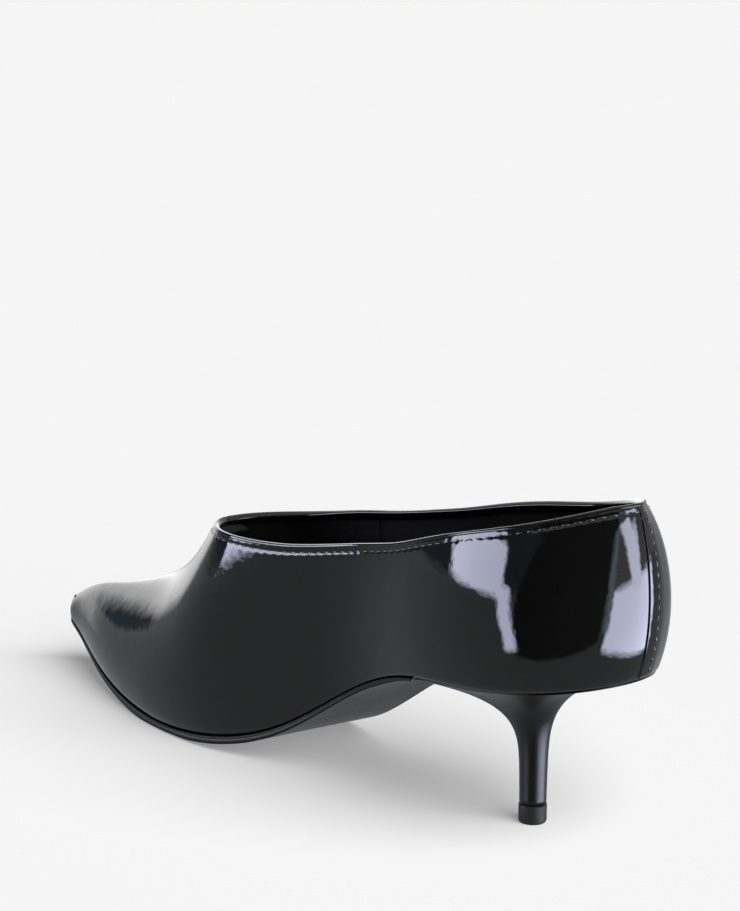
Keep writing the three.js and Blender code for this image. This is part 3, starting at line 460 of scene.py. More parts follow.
class Field:
    """A number that varies over a surface. It wraps a node's output, and the operators on it add the
    Math nodes that work it out."""

    def __init__(self, finish, socket):
        self.finish = finish
        self.socket = socket

    def math(self, operation, *values):
        return self.finish.node("ShaderNodeMath", {"operation": operation}, values)

    def __add__(self, other):
        return self.math("ADD", self, other)

    def __sub__(self, other):
        return self.math("SUBTRACT", self, other)

    def __mul__(self, other):
        return self.math("MULTIPLY", self, other)

    def __truediv__(self, other):
        return self.math("DIVIDE", self, other)

    def __rsub__(self, other):
        return self.math("SUBTRACT", other, self)

    def __abs__(self):
        return self.math("ABSOLUTE", self)

    __radd__ = __add__
    __rmul__ = __mul__

    def sine(self):
        return self.math("SINE", self)

    def between(self, low, high):
        """0 below low and 1 above high, straight in between and held at the ends."""
        settings = {"clamp": True}
        values = {"Value": self, "From Min": low, "From Max": high}
        return self.finish.node("ShaderNodeMapRange", settings, values)

    def bell(self, middle, width):
        """1 at the middle, falling off to either side as a power of e."""
        away = (self - middle) / width
        return self.math("EXPONENT", (away * away) * -1)


class Finish:
    """A finish of one material: its Principled shader, and the nodes that feed it."""

    def __init__(self, name, **values):
        self.grow(bpy.data.materials.new(name), "Principled BSDF")
        self.set(**values)

    def grow(self, material, shader):
        material.use_nodes = True
        self.material = material
        self.tree = material.node_tree
        self.shader = self.tree.nodes[shader]

    def node(self, kind, settings=None, values=()):
        """Adds a node of a kind, sets its settings, then its sockets by name or in order."""
        node = self.tree.nodes.new(kind)
        for key, setting in (settings or {}).items():
            setattr(node, key, setting)
        pairs = values.items() if isinstance(values, dict) else enumerate(values)
        for key, value in pairs:
            self.feed(node.inputs[key], value)
        return Field(self, node.outputs[0])

    def feed(self, socket, value):
        if isinstance(value, Field):
            self.tree.links.new(value.socket, socket)
        else:
            socket.default_value = value

    def set(self, **values):
        """Sets or links sockets of the shader: coat_weight stands for Coat Weight."""
        for key, value in values.items():
            name = key.replace("_", " ").title().replace("Ior", "IOR")
            self.feed(self.shader.inputs[name], value)

    def place(self):
        """The point on the piece, in metres in the part's frame."""
        point = self.node("ShaderNodeTexCoord")
        return Field(self, point.socket.node.outputs["Object"])

    def noise(self, place, size, detail=2.0, roughness=0.5):
        """Smooth random number about 0.5, whose lumps are about a size in millimetres."""
        values = {"Vector": place, "Scale": 1 / (size * MM), "Detail": detail, "Roughness": roughness}
        return self.node("ShaderNodeTexNoise", None, values)

    def attribute(self, name):
        """A number that the mesh holds for each of its points."""
        node = self.node("ShaderNodeAttribute", {"attribute_name": name})
        return Field(self, node.socket.node.outputs["Fac"])

    def blend(self, share, first, second):
        """A colour between two: the first where the share is 0 and the second where it is 1."""
        node = self.tree.nodes.new("ShaderNodeMix")
        node.data_type = "RGBA"
        self.feed(node.inputs["Factor"], share)
        self.feed(node.inputs[6], first)
        self.feed(node.inputs[7], second)
        return Field(self, node.outputs[2])

    def bumped(self, height, depth, base=None):
        """A normal tipped by a height, from 0 to 1, that stands for a depth in millimetres."""
        values = {"Height": height, "Distance": depth * MM, "Strength": 1.0}
        if base is not None:
            values["Normal"] = base
        return self.node("ShaderNodeBump", None, values)

    def put_on(self, *pieces):
        for piece in pieces:
            piece.data.materials.clear()
            piece.data.materials.append(self.material)


def grey(level, warmth=0.0):
    """A near-neutral colour: red is raised and blue lowered by the warmth."""
    return (level * (1 + warmth), level, level * (1 - warmth), 1.0)


def patent(name):
    """Patent leather: a dark, faintly cloudy split under a clear, nearly mirror-smooth film. Each piece
    adds its own peel and ripples."""
    finish = Finish(name, roughness=0.045, ior=1.42)
    place = finish.place()
    cloud = finish.noise(place, 30, detail=3)
    finish.set(base_color=finish.blend(cloud, grey(0.0035), grey(0.0055, -0.04)))
    return finish, place


patent_leather, place = patent("patent_leather")
peel = patent_leather.noise(place, 1.6, detail=2)
ripple = patent_leather.noise(place, 5, detail=2)
sway = patent_leather.noise(place, 16, detail=1)
under = patent_leather.attribute("under_edge")
along = patent_leather.attribute("along_edge")
wave = (along * (2 * math.pi * stitch_count / edge_length)).sine()
pucker = wave * under.bell(STITCH_DROP, 1.1)
surface = patent_leather.bumped(peel, 0.007)
surface = patent_leather.bumped(ripple, 0.05, surface)
surface = patent_leather.bumped(sway, 0.18, surface)
surface = patent_leather.bumped(pucker, 0.022, surface)
patent_leather.set(normal=surface)
patent_leather.put_on(upper)


# ------------------------------------------------------------------ the topline binding
# A thin strip of the same patent leather, folded over the cut edge and cemented. It stands a little
# proud of the upper outside, and hides the edges of the tape and the lining inside.

BINDING_DROP = 0.6
BINDING_PROUD = 0.22
RIM_THICKNESS = 1.9


def edge_frames(columns, below=0.0):
    """Points right round a line under the topline, with the outward and the upward direction there.
    Upward is along the line crossed with outward."""
    side, turn = round_the_shoe(columns, 4)
    keep = turn[:, 0] <= throat
    side, turn = side[keep], turn[keep]
    rise = topline_cut(side, turn, below)
    point = wall(side, turn, rise)[:, 0]
    out = wall_normal(side, turn, rise)[:, 0]
    run = np.roll(point, -1, 0) - np.roll(point, 1, 0)
    run /= np.linalg.norm(run, axis=1, keepdims=True)
    up = np.cross(run, out)
    up /= np.linalg.norm(up, axis=1, keepdims=True)
    return point, out, up


def swept(frames, depths, heights, closed=True):
    """Carries a profile round a line of frames: inwards by its depths and up by its heights."""
    point, out, up = (array[:, None, :] for array in frames)
    ring = point - out * np.asarray(depths)[..., None] + up * np.asarray(heights)[..., None]
    if closed:
        ring = np.concatenate([ring, ring[:, :1]], axis=1)
    return ring


def rim_profile(steps):
    """Outline of the folded strip: up the outside, over the top on an ellipse, down the inside, and
    back under the fold."""
    over = np.linspace(0, math.pi, steps)
    middle = RIM_THICKNESS / 2
    half = RIM_THICKNESS / 2 + BINDING_PROUD
    depths = middle - half * np.cos(over)
    heights = 0.55 * np.sin(over) ** 0.8
    outside = [(0.06, -BINDING_DROP - 0.05), (-0.20, -BINDING_DROP), (-0.33, -BINDING_DROP + 0.25)]
    inside_drop = BINDING_DROP + 1.6
    inside = [(RIM_THICKNESS + 0.30, -inside_drop + 0.25), (RIM_THICKNESS + 0.15, -inside_drop)]
    hollow = [(RIM_THICKNESS - 0.1, -inside_drop), (RIM_THICKNESS - 0.1, -0.1), (0.06, -0.1)]
    pairs = outside + list(zip(depths, heights)) + inside + hollow
    return np.array(pairs).T


binding_depths, binding_heights = rim_profile(17)
rim_frames = edge_frames(340)
binding_rings = swept(rim_frames, binding_depths, binding_heights)
binding = shoe_piece("topline_folded_binding", [binding_rings], ["topline_binding"])
binding_leather, place = patent("binding_patent")
creases = binding_leather.noise(place, 2.2, detail=3)
binding_leather.set(normal=binding_leather.bumped(creases, 0.05))
binding_leather.put_on(binding)


# ------------------------------------------------------------------ the back seam
# The quarters meet at the middle of the heel. One edge is lapped over the other, thinned towards its
# own side, and stitched down a little way in from the edge.

LAP_OUTER = 1.6
LAP_INNER = 9.0
LAP_PROUD = 0.5
LAP_STITCH_INSET = 2.0
BACK_TURN = 0.2


def turn_at_width(width):
    """Turn at which the back of the outline lies a distance from the middle."""
    return BACK_TURN * float(crossing(lambda t: rim_x(np.array(1.0), BACK_TURN * t) - width))


def heel_column(width):
    """Side and turn of the column at a signed distance from the middle of the heel."""
    side = np.where(width >= 0, 1.0, -1.0)
    turn = np.array([turn_at_width(abs(w)) for w in np.ravel(width)]).reshape(np.shape(width))
    return side, turn


def lap_height(width, under):
    """How far the lap stands proud: quickly up from its edge, slowly down to the far side, and less
    where the binding and the sole press it."""
    edge = cubic(0, 0.35, LAP_OUTER - width) * (1 - cubic(3.5, LAP_OUTER + LAP_INNER, LAP_OUTER - width))
    return LAP_PROUD * edge * (0.25 + 0.75 * cubic(1.0, 4.0, under)) - 0.03


lap_width = LAP_OUTER - (LAP_OUTER + LAP_INNER) * (np.arange(41) / 40) ** 1.8
side, turn = (array[:, None] for array in heel_column(lap_width))
lap_rise = rising(FOOT_RISE + 0 * turn, topline_cut(side, turn, 0.2), 90, 1.4)
lap_place = wall(side, turn, lap_rise)
lap_out = wall_normal(side, turn, lap_rise)
lap_under = topline(side, -lap_place[..., 1]) - lap_place[..., 2]
lap_face = lap_place + lap_out * lap_height(lap_width[:, None], lap_under)[..., None]
lap_back = lap_place - lap_out * 0.05
lap_rim = [np.stack([lap_face[:, end], lap_back[:, end]], axis=1) for end in (0, -1)]
lap_ends = [np.stack([lap_face[end], lap_back[end]], axis=1) for end in (0, -1)]
lap = shoe_piece(
    "back_seam_edge",
    [lap_face, lap_back, *lap_rim, *lap_ends],
    ["back_seam_lap"],
    around=False,
)
lap_leather, place = patent("back_seam_patent")
surface = lap_leather.bumped(lap_leather.noise(place, 1.6), 0.010)
surface = lap_leather.bumped(lap_leather.noise(place, 5), 0.08, surface)
lap_leather.set(normal=surface)
lap_leather.put_on(lap)


# ------------------------------------------------------------------ the stitches
# Waxed black thread, in single stitches that dip into the leather at both ends. One row runs right
# round under the binding, and one holds the back seam's edge down.

THREAD = 0.21
STITCH_SHARE = 0.74
STITCH_ARCH = 0.12
STITCH_DIP = 0.36
SEAM_PITCH = 3.0


def stitches(point, out, run, length, proud):
    """One closed spindle for each place: along the run by a share of the length, round by a circle
    that closes at both ends, and arched outwards so that the ends dip in."""
    s = np.linspace(-1, 1, 9)
    around = np.linspace(0, 2 * math.pi, 9)
    width = THREAD * np.sqrt(1 - s**4)
    across = np.cross(run, out)
    spindle = [
        point[:, None, None] * np.ones((1, 9, 9, 1)),
        run[:, None, None] * (s * length / 2)[None, :, None, None],
        out[:, None, None] * (proud + STITCH_ARCH - STITCH_DIP * s**2)[None, :, None, None],
        out[:, None, None] * (width[:, None] * np.cos(around))[None, ..., None],
        across[:, None, None] * (width[:, None] * np.sin(around))[None, ..., None],
    ]
    return list(sum(spindle))


def spaced(arrays, pitch, closed):
    """Picks places evenly along a line of points, and what goes with them, by straight steps."""
    point = arrays[0]
    nodes = [np.concatenate([array, array[:1]]) if closed else array for array in arrays]
    run = np.linalg.norm(np.diff(nodes[0], axis=0), axis=1)
    reach = np.concatenate([[0], np.cumsum(run)])
    count = round(reach[-1] / pitch)
    at = (np.arange(count) + 0.5) * reach[-1] / count
    return [np.stack([np.interp(at, reach, array[:, k]) for k in range(3)], -1) for array in nodes]


def unit(vectors):
    return vectors / np.linalg.norm(vectors, axis=-1, keepdims=True)


point, out, up = edge_frames(900, STITCH_DROP)
lapped = np.clip(1 - abs(point[:, 0] + 3.5) / 6, 0, 1) * (point[:, 1] > -20) * 0.2
point = point + out * (lapped - GROOVE_DEPTH)[:, None]
point, out, up = spaced([point, out, up], STITCH_PITCH, True)
run = unit(np.cross(unit(out), unit(up)))
topline_row = stitches(point, unit(out), run, STITCH_PITCH * STITCH_SHARE, 0.0)
topline_stitches = shoe_piece(
    "topline_stitches", topline_row, ["topline_thread"], around=False
)

seam_side, seam_turn = heel_column(np.array([[-LAP_STITCH_INSET]]))
seam_low = crossing(lambda t: wall(seam_side, seam_turn, t)[..., 2] - SEAT_HEIGHT - 1.5, (1, 1))
seam_high = topline_cut(seam_side, seam_turn, STITCH_DROP + 1.2)
seam_rise = seam_low + (seam_high - seam_low) * np.linspace(0, 1, 200)[None]
point = wall(seam_side, seam_turn, seam_rise)[0]
out = wall_normal(seam_side, seam_turn, seam_rise)[0]
run = unit(np.gradient(point, axis=0))
point, out, run = spaced([point, out, run], SEAM_PITCH, False)
seam_row = stitches(point, unit(out), unit(run), SEAM_PITCH * STITCH_SHARE, LAP_PROUD - 0.1)
seam_stitches = shoe_piece(
    "back_seam_stitches", seam_row, ["back_seam_thread"], around=False
)

thread = Finish("waxed_thread", roughness=0.3, ior=1.45, coat_weight=0.8, coat_roughness=0.12)
place = thread.place()
twist = thread.node("ShaderNodeTexWave", None, {"Vector": place, "Scale": 900.0, "Distortion": 2.0})
thread.set(base_color=thread.blend(twist, grey(0.010), grey(0.03)))
thread.set(normal=thread.bumped(twist, 0.04))
thread.put_on(topline_stitches, seam_stitches)


# ------------------------------------------------------------------ the linings
# Thin matt black leather behind the upper: a quarter lining round the heel and a vamp lining in the
# forepart, which meet end to end in the waist. A woven tape lies behind the edge, under the lining.

LINING = 0.6
LINING_DEPTH = 2.2
EDGE_LINING_DEPTH = 0.95
LINING_JOIN = 118
LINING_TOE_GAP = 17
LINING_FOOT_GAP = 0.5
JOIN_GAP = 0.0003
INSOLE_TOP = 2.8
SHANK_BOARD_END = 132


def insole_top(station):
    """Height of the insole's face over the last's bottom: it steps down off the shank board's end."""
    return INSOLE_TOP + 1.8 * (1 - cubic(0, 16, station - SHANK_BOARD_END - 1))


def both_sides(turns):
    """The same turns up the outer side and down the inner side, as columns."""
    sides = np.concatenate([np.ones(len(turns)), -np.ones(len(turns))])
    return sides[:, None], np.concatenate([turns, turns[::-1]])[:, None]


def foot_rise(side, turn, depth, height):
    """Rise at which a layer stands a height over the last's bottom."""
    target = feather(side, turn)[..., 2] + height

    def over(rise):
        return (wall(side, turn, rise) - wall_normal(side, turn, rise) * depth)[..., 2] - target

    return crossing(over, np.broadcast(side, turn).shape)


def lining_depth(side, turn, rise):
    """How deep the lining's outer face lies: close behind the leather at the edge, deeper below."""
    near = edge_nearness(side, turn, rise)
    return LINING_DEPTH - (LINING_DEPTH - EDGE_LINING_DEPTH) * near


def mirrored_ends(points, turns):
    """Makes both sides' last points one in every column on the ridge, for an open run of columns."""
    met = points.copy()
    on_ridge = turns[:, 0] >= throat
    other = points[::-1, -1]
    met[on_ridge, -1] = (points[on_ridge, -1] + other[on_ridge]) / 2
    return met


def lining_sheet(name, node, turns, open_heel):
    """A sheet of lining between the insole and the topline, over a run of columns on both sides: its
    outer face, its inner face a thickness deeper, and strips that close its edges."""
    side, turn = both_sides(turns)
    seat = insole_top(LAST_LENGTH * share_of(turn)) + LINING_FOOT_GAP
    low = foot_rise(side, turn, LINING_DEPTH + LINING, seat)
    rise = rising(low, topline_cut(side, turn), 40, 1.6)
    place, out = wall(side, turn, rise), wall_normal(side, turn, rise)
    depth = lining_depth(side, turn, rise)[..., None]
    faces = [mirrored_ends(place - out * d, turn) for d in (depth, depth + LINING)]
    if open_heel:
        faces = [np.roll(face, len(turns), axis=0) for face in faces]
    low_strip, top = [np.stack([faces[0][:, end], faces[1][:, end]], axis=1) for end in (0, -1)]
    off_ridge = np.count_nonzero(turns < throat) + 1
    strips = [low_strip, top] if open_heel else [low_strip, top[:off_ridge], top[-off_ridge:]]
    ends = [np.stack([faces[0][end], faces[1][end]], axis=1) for end in (0, -1)]
    return shoe_piece(name, [*faces, *strips, *ends], [node], around=False)


join = float(turn_at(LINING_JOIN))
quarter_turns = np.linspace(0, join - JOIN_GAP, 120)
front = 1 - (1 - np.linspace(0, 1, 60)) ** 1.7
lining_toe = float(turn_at(LAST_LENGTH - LINING_TOE_GAP))
vamp_turns = np.concatenate(
    [
        join + JOIN_GAP + (throat - join - JOIN_GAP) * front,
        throat + (lining_toe - throat) * (np.arange(1, 61) / 60) ** 1.7,
    ]
)
quarter_lining = lining_sheet("quarter_lining_leather", "quarter_lining", quarter_turns, True)
vamp_lining = lining_sheet("vamp_lining_leather", "vamp_lining", vamp_turns, False)

lining_leather = Finish("lining_leather", roughness=0.7, ior=1.12)
place = lining_leather.place()
grain = lining_leather.noise(place, 0.8, detail=4, roughness=0.65)
cloud = lining_leather.noise(place, 18, detail=3)
lining_leather.set(base_color=lining_leather.blend(cloud, grey(0.006, 0.05), grey(0.012, 0.05)))
lining_leather.set(roughness=cloud * 0.15 + 0.55)
lining_leather.set(normal=lining_leather.bumped(grain, 0.06))
lining_leather.put_on(quarter_lining, vamp_lining)


# ------------------------------------------------------------------ the sock and the pads
# The sock is a thin sheet of the lining leather that the foot stands on. Two foam pads lie between
# it and the insole, one under the heel and one under the ball.

SOCK = 0.8
SOCK_INSET = 3.4
SOCK_TOE_GAP = 24
PAD = 2.0
PAD_INSET = 4.9
LAYER_GAP = 0.3
HEEL_PAD_FRONT = 48
HEEL_RISE_ENDS = (-50, 76)
FORE_PAD_ENDS = (146, 214)


def over_pad(station, start, end):
    """1 between the ends of a pad's rise, falling to 0 a short way past them."""
    return cubic(-12.5, -3.5, station - start) * cubic(-12.5, -3.5, end - station)


def pad_top(station):
    """Height of a pad's face over the last's bottom."""
    return insole_top(station) + LAYER_GAP + PAD


def sock_under(station):
    """Height of the sock's lower face: over the insole, and over each pad."""
    pads = over_pad(station, *HEEL_RISE_ENDS) + over_pad(station, *FORE_PAD_ENDS)
    return insole_top(station) + LAYER_GAP + (PAD + LAYER_GAP) * np.minimum(pads, 1)


def plate_sections(side, turn, inset, lower, upper, profile, steps=16):
    """Section of a plate of the last's bottom in each column. It runs out from the spine along the
    lower face, up the rim by a profile of (share of the thickness, further inset), and back. None of
    it goes under the floor."""
    part = np.sin(np.linspace(0, math.pi / 2, steps))[None]
    rim = reach_at(side, turn, inset)
    pieces = [bottom(side, turn, rim * part, lower)]
    for share, further in profile:
        reach = reach_at(side, turn, inset + further)

        def height(station, share=share):
            return lower(station) + (upper(station) - lower(station)) * share

        pieces.append(bottom(side, turn, reach, height))
    pieces.append(bottom(side, turn, rim * part[:, ::-1], upper))
    section = np.concatenate(pieces, axis=1)
    section[..., 2] = np.maximum(section[..., 2], 0)
    return section


def plate_piece(name, node, turns, inset, lower, upper, profile):
    """A plate of the last's bottom over a run of turns. Its two sides join at its front, and at the
    middle of the heel if it starts there, and otherwise its back end is closed on either side."""
    side, turn = both_sides(turns)
    sections = plate_sections(side, turn, inset, lower, upper, profile)
    half = (sections.shape[1] + 1) // 2
    ends = []
    for section in sections[[0, -1]] if turns[0] > 0 else []:
        ends.append(np.stack([section[:half], section[: -half - 1 : -1]], axis=1))
    return shoe_piece(name, [sections, *ends], [node], around=False)


ROUND_RIM = [(0.1, 0.0), (0.5, -0.15), (0.9, 0.0)]
sock_turns = np.linspace(0, float(turn_at(LAST_LENGTH - SOCK_TOE_GAP)), 160)
sock = plate_piece(
    "sock_lining_leather",
    "sock_lining",
    sock_turns,
    SOCK_INSET,
    sock_under,
    lambda station: sock_under(station) + SOCK,
    ROUND_RIM,
)
lining_leather.put_on(sock)


def pad_under(station):
    return insole_top(station) + LAYER_GAP


pad_rim = [(0.05, 0.6), (0.2, 0.1), (0.5, -0.1), (0.8, 0.1), (0.95, 0.6)]
pads = []
for name, node, ends in [
    ("heel_pad_foam", "heel_pad", (0, HEEL_PAD_FRONT)),
    ("forefoot_pad_foam", "forefoot_pad", FORE_PAD_ENDS),
]:
    turns = np.linspace(*[float(turn_at(end)) for end in ends], 60)
    pad = plate_piece(name, node, turns, PAD_INSET, pad_under, pad_top, pad_rim)
    pads.append(pad)

foam = Finish("latex_foam", roughness=0.9)
place = foam.place()
cells = foam.node("ShaderNodeTexVoronoi", None, {"Vector": place, "Scale": 2200.0})
foam.set(base_color=foam.blend(cells, (0.75, 0.69, 0.55, 1), (0.62, 0.56, 0.43, 1)))
foam.set(normal=foam.bumped(cells, 0.2))
foam.put_on(*pads)


# ------------------------------------------------------------------ the outsole
# Thin black sole leather, cemented under the margin. Its edge is trimmed almost square, with a fine
# wheeled line round it, inked and polished, and its face is a satin black.

OUTSOLE = 2.4
WAIST_SOLE = 1.7
SOLE_WELT = 0.25
TOE_SKIVE = 1.9
HEEL_SKIVE = 1.1
SOLE_SEAT = 0.15
HEEL_BREAST = 62
BREAST_GAP = 1.2
SOLE_EDGE = [
    (0.0, 0.55),
    (0.06, 0.22),
    (0.18, 0.05),
    (0.35, 0.0),
    (0.58, 0.0),
    (0.64, 0.14),
    (0.70, 0.16),
    (0.76, 0.02),
    (0.92, 0.02),
    (1.0, 0.18),
]


def sole_thickness(station):
    """Thin in the waist, full under the ball, and skived thinner again towards the toe."""
    forward = cubic(30, 80, station - HEEL_BREAST) - TOE_SKIVE * cubic(-75, -5, station - LAST_LENGTH)
    back = HEEL_SKIVE * (1 - cubic(0, 22, station - HEEL_BREAST))
    return WAIST_SOLE - back + (OUTSOLE - WAIST_SOLE) * forward


def sole_top(station):
    return -SOLE_SEAT + 0 * station


def sole_under(station):
    """Lower face of the sole: a thickness under its upper face, but never under the floor."""
    return np.maximum(-SOLE_SEAT - sole_thickness(station), -seat_line(station))


sole_start = float(turn_at(HEEL_BREAST + BREAST_GAP))
sole_turns = sole_start + (1 - sole_start) * np.linspace(0, 1, 260)
outsole = plate_piece(
    "outsole_leather", "outsole", sole_turns, -SOLE_WELT, sole_under, sole_top, SOLE_EDGE
)

sole_finish = Finish("sole_leather", roughness=0.42, ior=1.26)
place = sole_finish.place()
grain = sole_finish.noise(place, 1.2, detail=5, roughness=0.6)
cloud = sole_finish.noise(place, 22, detail=3)
sole_finish.set(base_color=sole_finish.blend(cloud, grey(0.008), grey(0.014, 0.03)))
sole_finish.set(roughness=cloud * 0.16 + 0.34)
sole_finish.set(normal=sole_finish.bumped(grain, 0.03))
sole_finish.put_on(outsole)


# ------------------------------------------------------------------ the heel
# One moulded block, lacquered satin black. Its seat fills the width of the shoe, then sweeps in to a
# slim round stem. The steel pin and the top piece's dowel lie inside the stem.

STEM_TOP_RADIUS = 4.6
STEM_RADIUS = 3.95
HEEL_FLARE = 5.6
SEAT_INSET = 0.5
SEAT_GAP = 0.35
TOP_PIECE_HEIGHT = 5.7


def seat_outline(arc=60, breast=13):
    """Rim of the heel's seat: so many points round either side of the last's rim, then so many in to
    the middle of the breast on a ray, and out again on the other side's."""
    end = float(turn_at(HEEL_BREAST))
    turns = np.linspace(0, end, arc)
    across = np.linspace(1, 0, breast + 1)[1:]
    side = np.concatenate([np.ones(arc + breast), -np.ones(breast - 1 + arc - 1)])
    turn = np.concatenate([turns, np.full(2 * breast - 1, end), turns[:0:-1]])
    part = np.concatenate([np.ones(arc), across, across[-2::-1], np.ones(arc - 1)])
    reach = reach_at(side, turn, SEAT_INSET) * part
    return bottom(side, turn, reach, -SEAT_GAP)


def heel_rings():
    """Rings from the seat down to the stem's foot. A ring's points lie between the seat's outline and
    a circle, by a high power of how far up they are, and the circle narrows downwards."""
    seat = seat_outline()
    foot = TOP_PIECE_HEIGHT + 0.3
    down = (np.linspace(0, 1, 70) ** 1.7)[:, None]
    away = seat[:, :2] + [0, HEEL_CENTRE]
    away = away / np.linalg.norm(away, axis=1, keepdims=True)
    radius = STEM_TOP_RADIUS + (STEM_RADIUS - STEM_TOP_RADIUS) * down[..., None]
    spread = ((1 - down) ** HEEL_FLARE)[..., None]
    stem = away[None] * radius - [0, HEEL_CENTRE]
    flat = stem + (seat[None, :, :2] - stem) * spread
    height = seat[None, :, 2] + (foot - seat[None, :, 2]) * down
    rings = np.concatenate([flat, height[..., None]], axis=-1)
    foot_centre = np.broadcast_to([0, -HEEL_CENTRE, foot], rings[-1:].shape)
    seat_centre = np.broadcast_to(seat.mean(0), rings[:1].shape)
    return np.concatenate([seat_centre, rings, foot_centre]).transpose(1, 0, 2)


heel = shoe_piece("lacquered_heel", [heel_rings()], ["heel_block"])

lacquer = Finish("heel_lacquer", roughness=0.42, ior=1.36)
place = lacquer.place()
flow = lacquer.noise(place, 9, detail=1)
lacquer.set(base_color=lacquer.blend(flow, grey(0.003), grey(0.005)))
lacquer.set(normal=lacquer.bumped(flow, 0.06))
lacquer.put_on(heel)


# ------------------------------------------------------------------ the top piece
# The small wearing block under the heel, moulded in matt black rubber, with a bevel round its foot
# and a fine groove where it meets the stem.

TOP_PIECE_RADIUS = 4.15


def turned_rings(profile, columns=72):
    """A profile of (radius, height) turned round the stem's middle line."""
    angle = np.arange(columns) * 2 * math.pi / columns
    radius, height = np.array(profile).T
    x = np.cos(angle)[:, None] * radius
    y = np.sin(angle)[:, None] * radius - HEEL_CENTRE
    return np.stack([x, y, height + 0 * x], -1)


top_piece_profile = [
    (0, 0.0),
    (3.3, 0.0),
    (3.75, 0.06),
    (4.0, 0.3),
    (TOP_PIECE_RADIUS, 0.9),
    (TOP_PIECE_RADIUS, TOP_PIECE_HEIGHT - 0.45),
    (4.08, TOP_PIECE_HEIGHT - 0.15),
    (3.7, TOP_PIECE_HEIGHT),
    (0, TOP_PIECE_HEIGHT),
]
top_piece = shoe_piece("rubber_top_piece", [turned_rings(top_piece_profile)], ["top_piece"])
rubber = Finish("moulded_rubber", roughness=0.6, ior=1.3)
place = rubber.place()
grain = rubber.noise(place, 0.5, detail=3)
rubber.set(base_color=rubber.blend(grain, grey(0.010), grey(0.020)))
rubber.set(roughness=grain * 0.2 + 0.5)
rubber.set(normal=rubber.bumped(grain, 0.05))
rubber.put_on(top_piece)


# ------------------------------------------------------------------ what lies inside
# The boards, stiffeners, tape, filler and metal parts of the shoe. The leather hides them, and all
# but the woven tape, which is made here, keep the shapes that they are cut or turned to.

fibreboard = Finish("fibreboard", roughness=0.85)
place = fibreboard.place()
fibres = fibreboard.noise(place, 2.5, detail=6, roughness=0.7)
fibreboard.set(base_color=fibreboard.blend(fibres, (0.30, 0.20, 0.11, 1), (0.48, 0.35, 0.21, 1)))
fibreboard.set(normal=fibreboard.bumped(fibres, 0.1))
fibreboard.put_on(*[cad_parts[name] for name in ("heel_counter", "insole_board", "shank_board")])

felt = Finish("stiffened_felt", roughness=0.95, sheen_weight=0.2)
place = felt.place()
matting = felt.noise(place, 0.7, detail=5, roughness=0.7)
felt.set(base_color=felt.blend(matting, (0.55, 0.52, 0.46, 1), (0.72, 0.69, 0.62, 1)))
felt.set(normal=felt.bumped(matting, 0.15))
felt.put_on(*[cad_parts[name] for name in ("toe_puff", "back_seam_tape", "bottom_filler")])

TAPE_DEPTHS = (0.70, 0.88)
TAPE_DROPS = (6.0, 0.8)
side, turn = round_the_shoe(120, 4)
keep = turn[:, 0] <= throat
side, turn = side[keep], turn[keep]
tape_rise = rising(*[topline_cut(side, turn, drop) for drop in TAPE_DROPS], 4, 1)
tape_faces = [
    wall(side, turn, tape_rise) - wall_normal(side, turn, tape_rise) * depth
    for depth in TAPE_DEPTHS
]
tape_strips = [np.stack([tape_faces[0][:, end], tape_faces[1][:, end]], axis=1) for end in (0, -1)]
tape = shoe_piece("topline_woven_tape", [*tape_faces, *tape_strips], ["topline_tape"])
weave = Finish("woven_tape", roughness=0.9)
place = weave.place()
ribs = weave.node("ShaderNodeTexWave", None, {"Vector": place, "Scale": 320.0, "Distortion": 1.0})
weave.set(base_color=weave.blend(ribs, grey(0.010), grey(0.025)))
weave.set(normal=weave.bumped(ribs, 0.1))
weave.put_on(tape)

steel = Finish("bright_steel", metallic=1.0, roughness=0.3)
place = steel.place()
brushing = steel.noise(place, 0.6, detail=4)
steel.set(base_color=steel.blend(brushing, (0.52, 0.53, 0.55, 1), (0.66, 0.67, 0.69, 1)))
steel.set(roughness=brushing * 0.2 + 0.22)
metal = ["steel_shank", "shank_rivet_rear", "shank_rivet_front", "heel_screw", "heel_pin"]
metal += ["heel_nail_%d" % number for number in range(1, 5)]
metal += ["lasting_tack_%d" % number for number in range(1, 7)]
steel.put_on(*[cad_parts[name] for name in metal])

nylon = Finish("dowel_nylon", roughness=0.4)
place = nylon.place()
streaks = nylon.noise(place, 1.5, detail=3)
nylon.set(base_color=nylon.blend(streaks, grey(0.02), grey(0.035)))
nylon.put_on(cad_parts["top_piece_dowel"])


# ------------------------------------------------------------------ floor, lights and camera
# A plain pale floor, which glows a little and isn't mirrored, and plain soft studio light. The
# surroundings hold soft-edged windows and dark panels that the leather mirrors, and light nothing
# else. One wide, soft sun lights the floor and the matt parts, and isn't mirrored.

FLOOR_SIZE = 60
SUN_SPREAD = 60
SUN_STRENGTH = 3.65
SUN_DIRECTION = (176, 42)

paper = Finish("pale_paper", roughness=1.0, specular_ior_level=0.0)
place = paper.place()
paper.set(base_color=paper.blend(paper.noise(place, 60), grey(0.850), grey(0.856)))
paper.set(emission_color=grey(1.0), emission_strength=0.25)
bpy.ops.mesh.primitive_plane_add(size=FLOOR_SIZE)
floor = bpy.context.object
floor.name = "studio_floor"
floor.visible_glossy = False
paper.put_on(floor)

scene = bpy.context.scene
scene.view_settings.view_transform = "Standard"


def toward(azimuth, elevation):
    """Unit vector in a direction: azimuth 0 is the toe's side, -Y, and 90 the outer side, +X."""
    turned, rise = math.radians(azimuth), math.radians(elevation)
    level = math.cos(rise)
    return Vector((math.sin(turned) * level, -math.cos(turned) * level, math.sin(rise)))


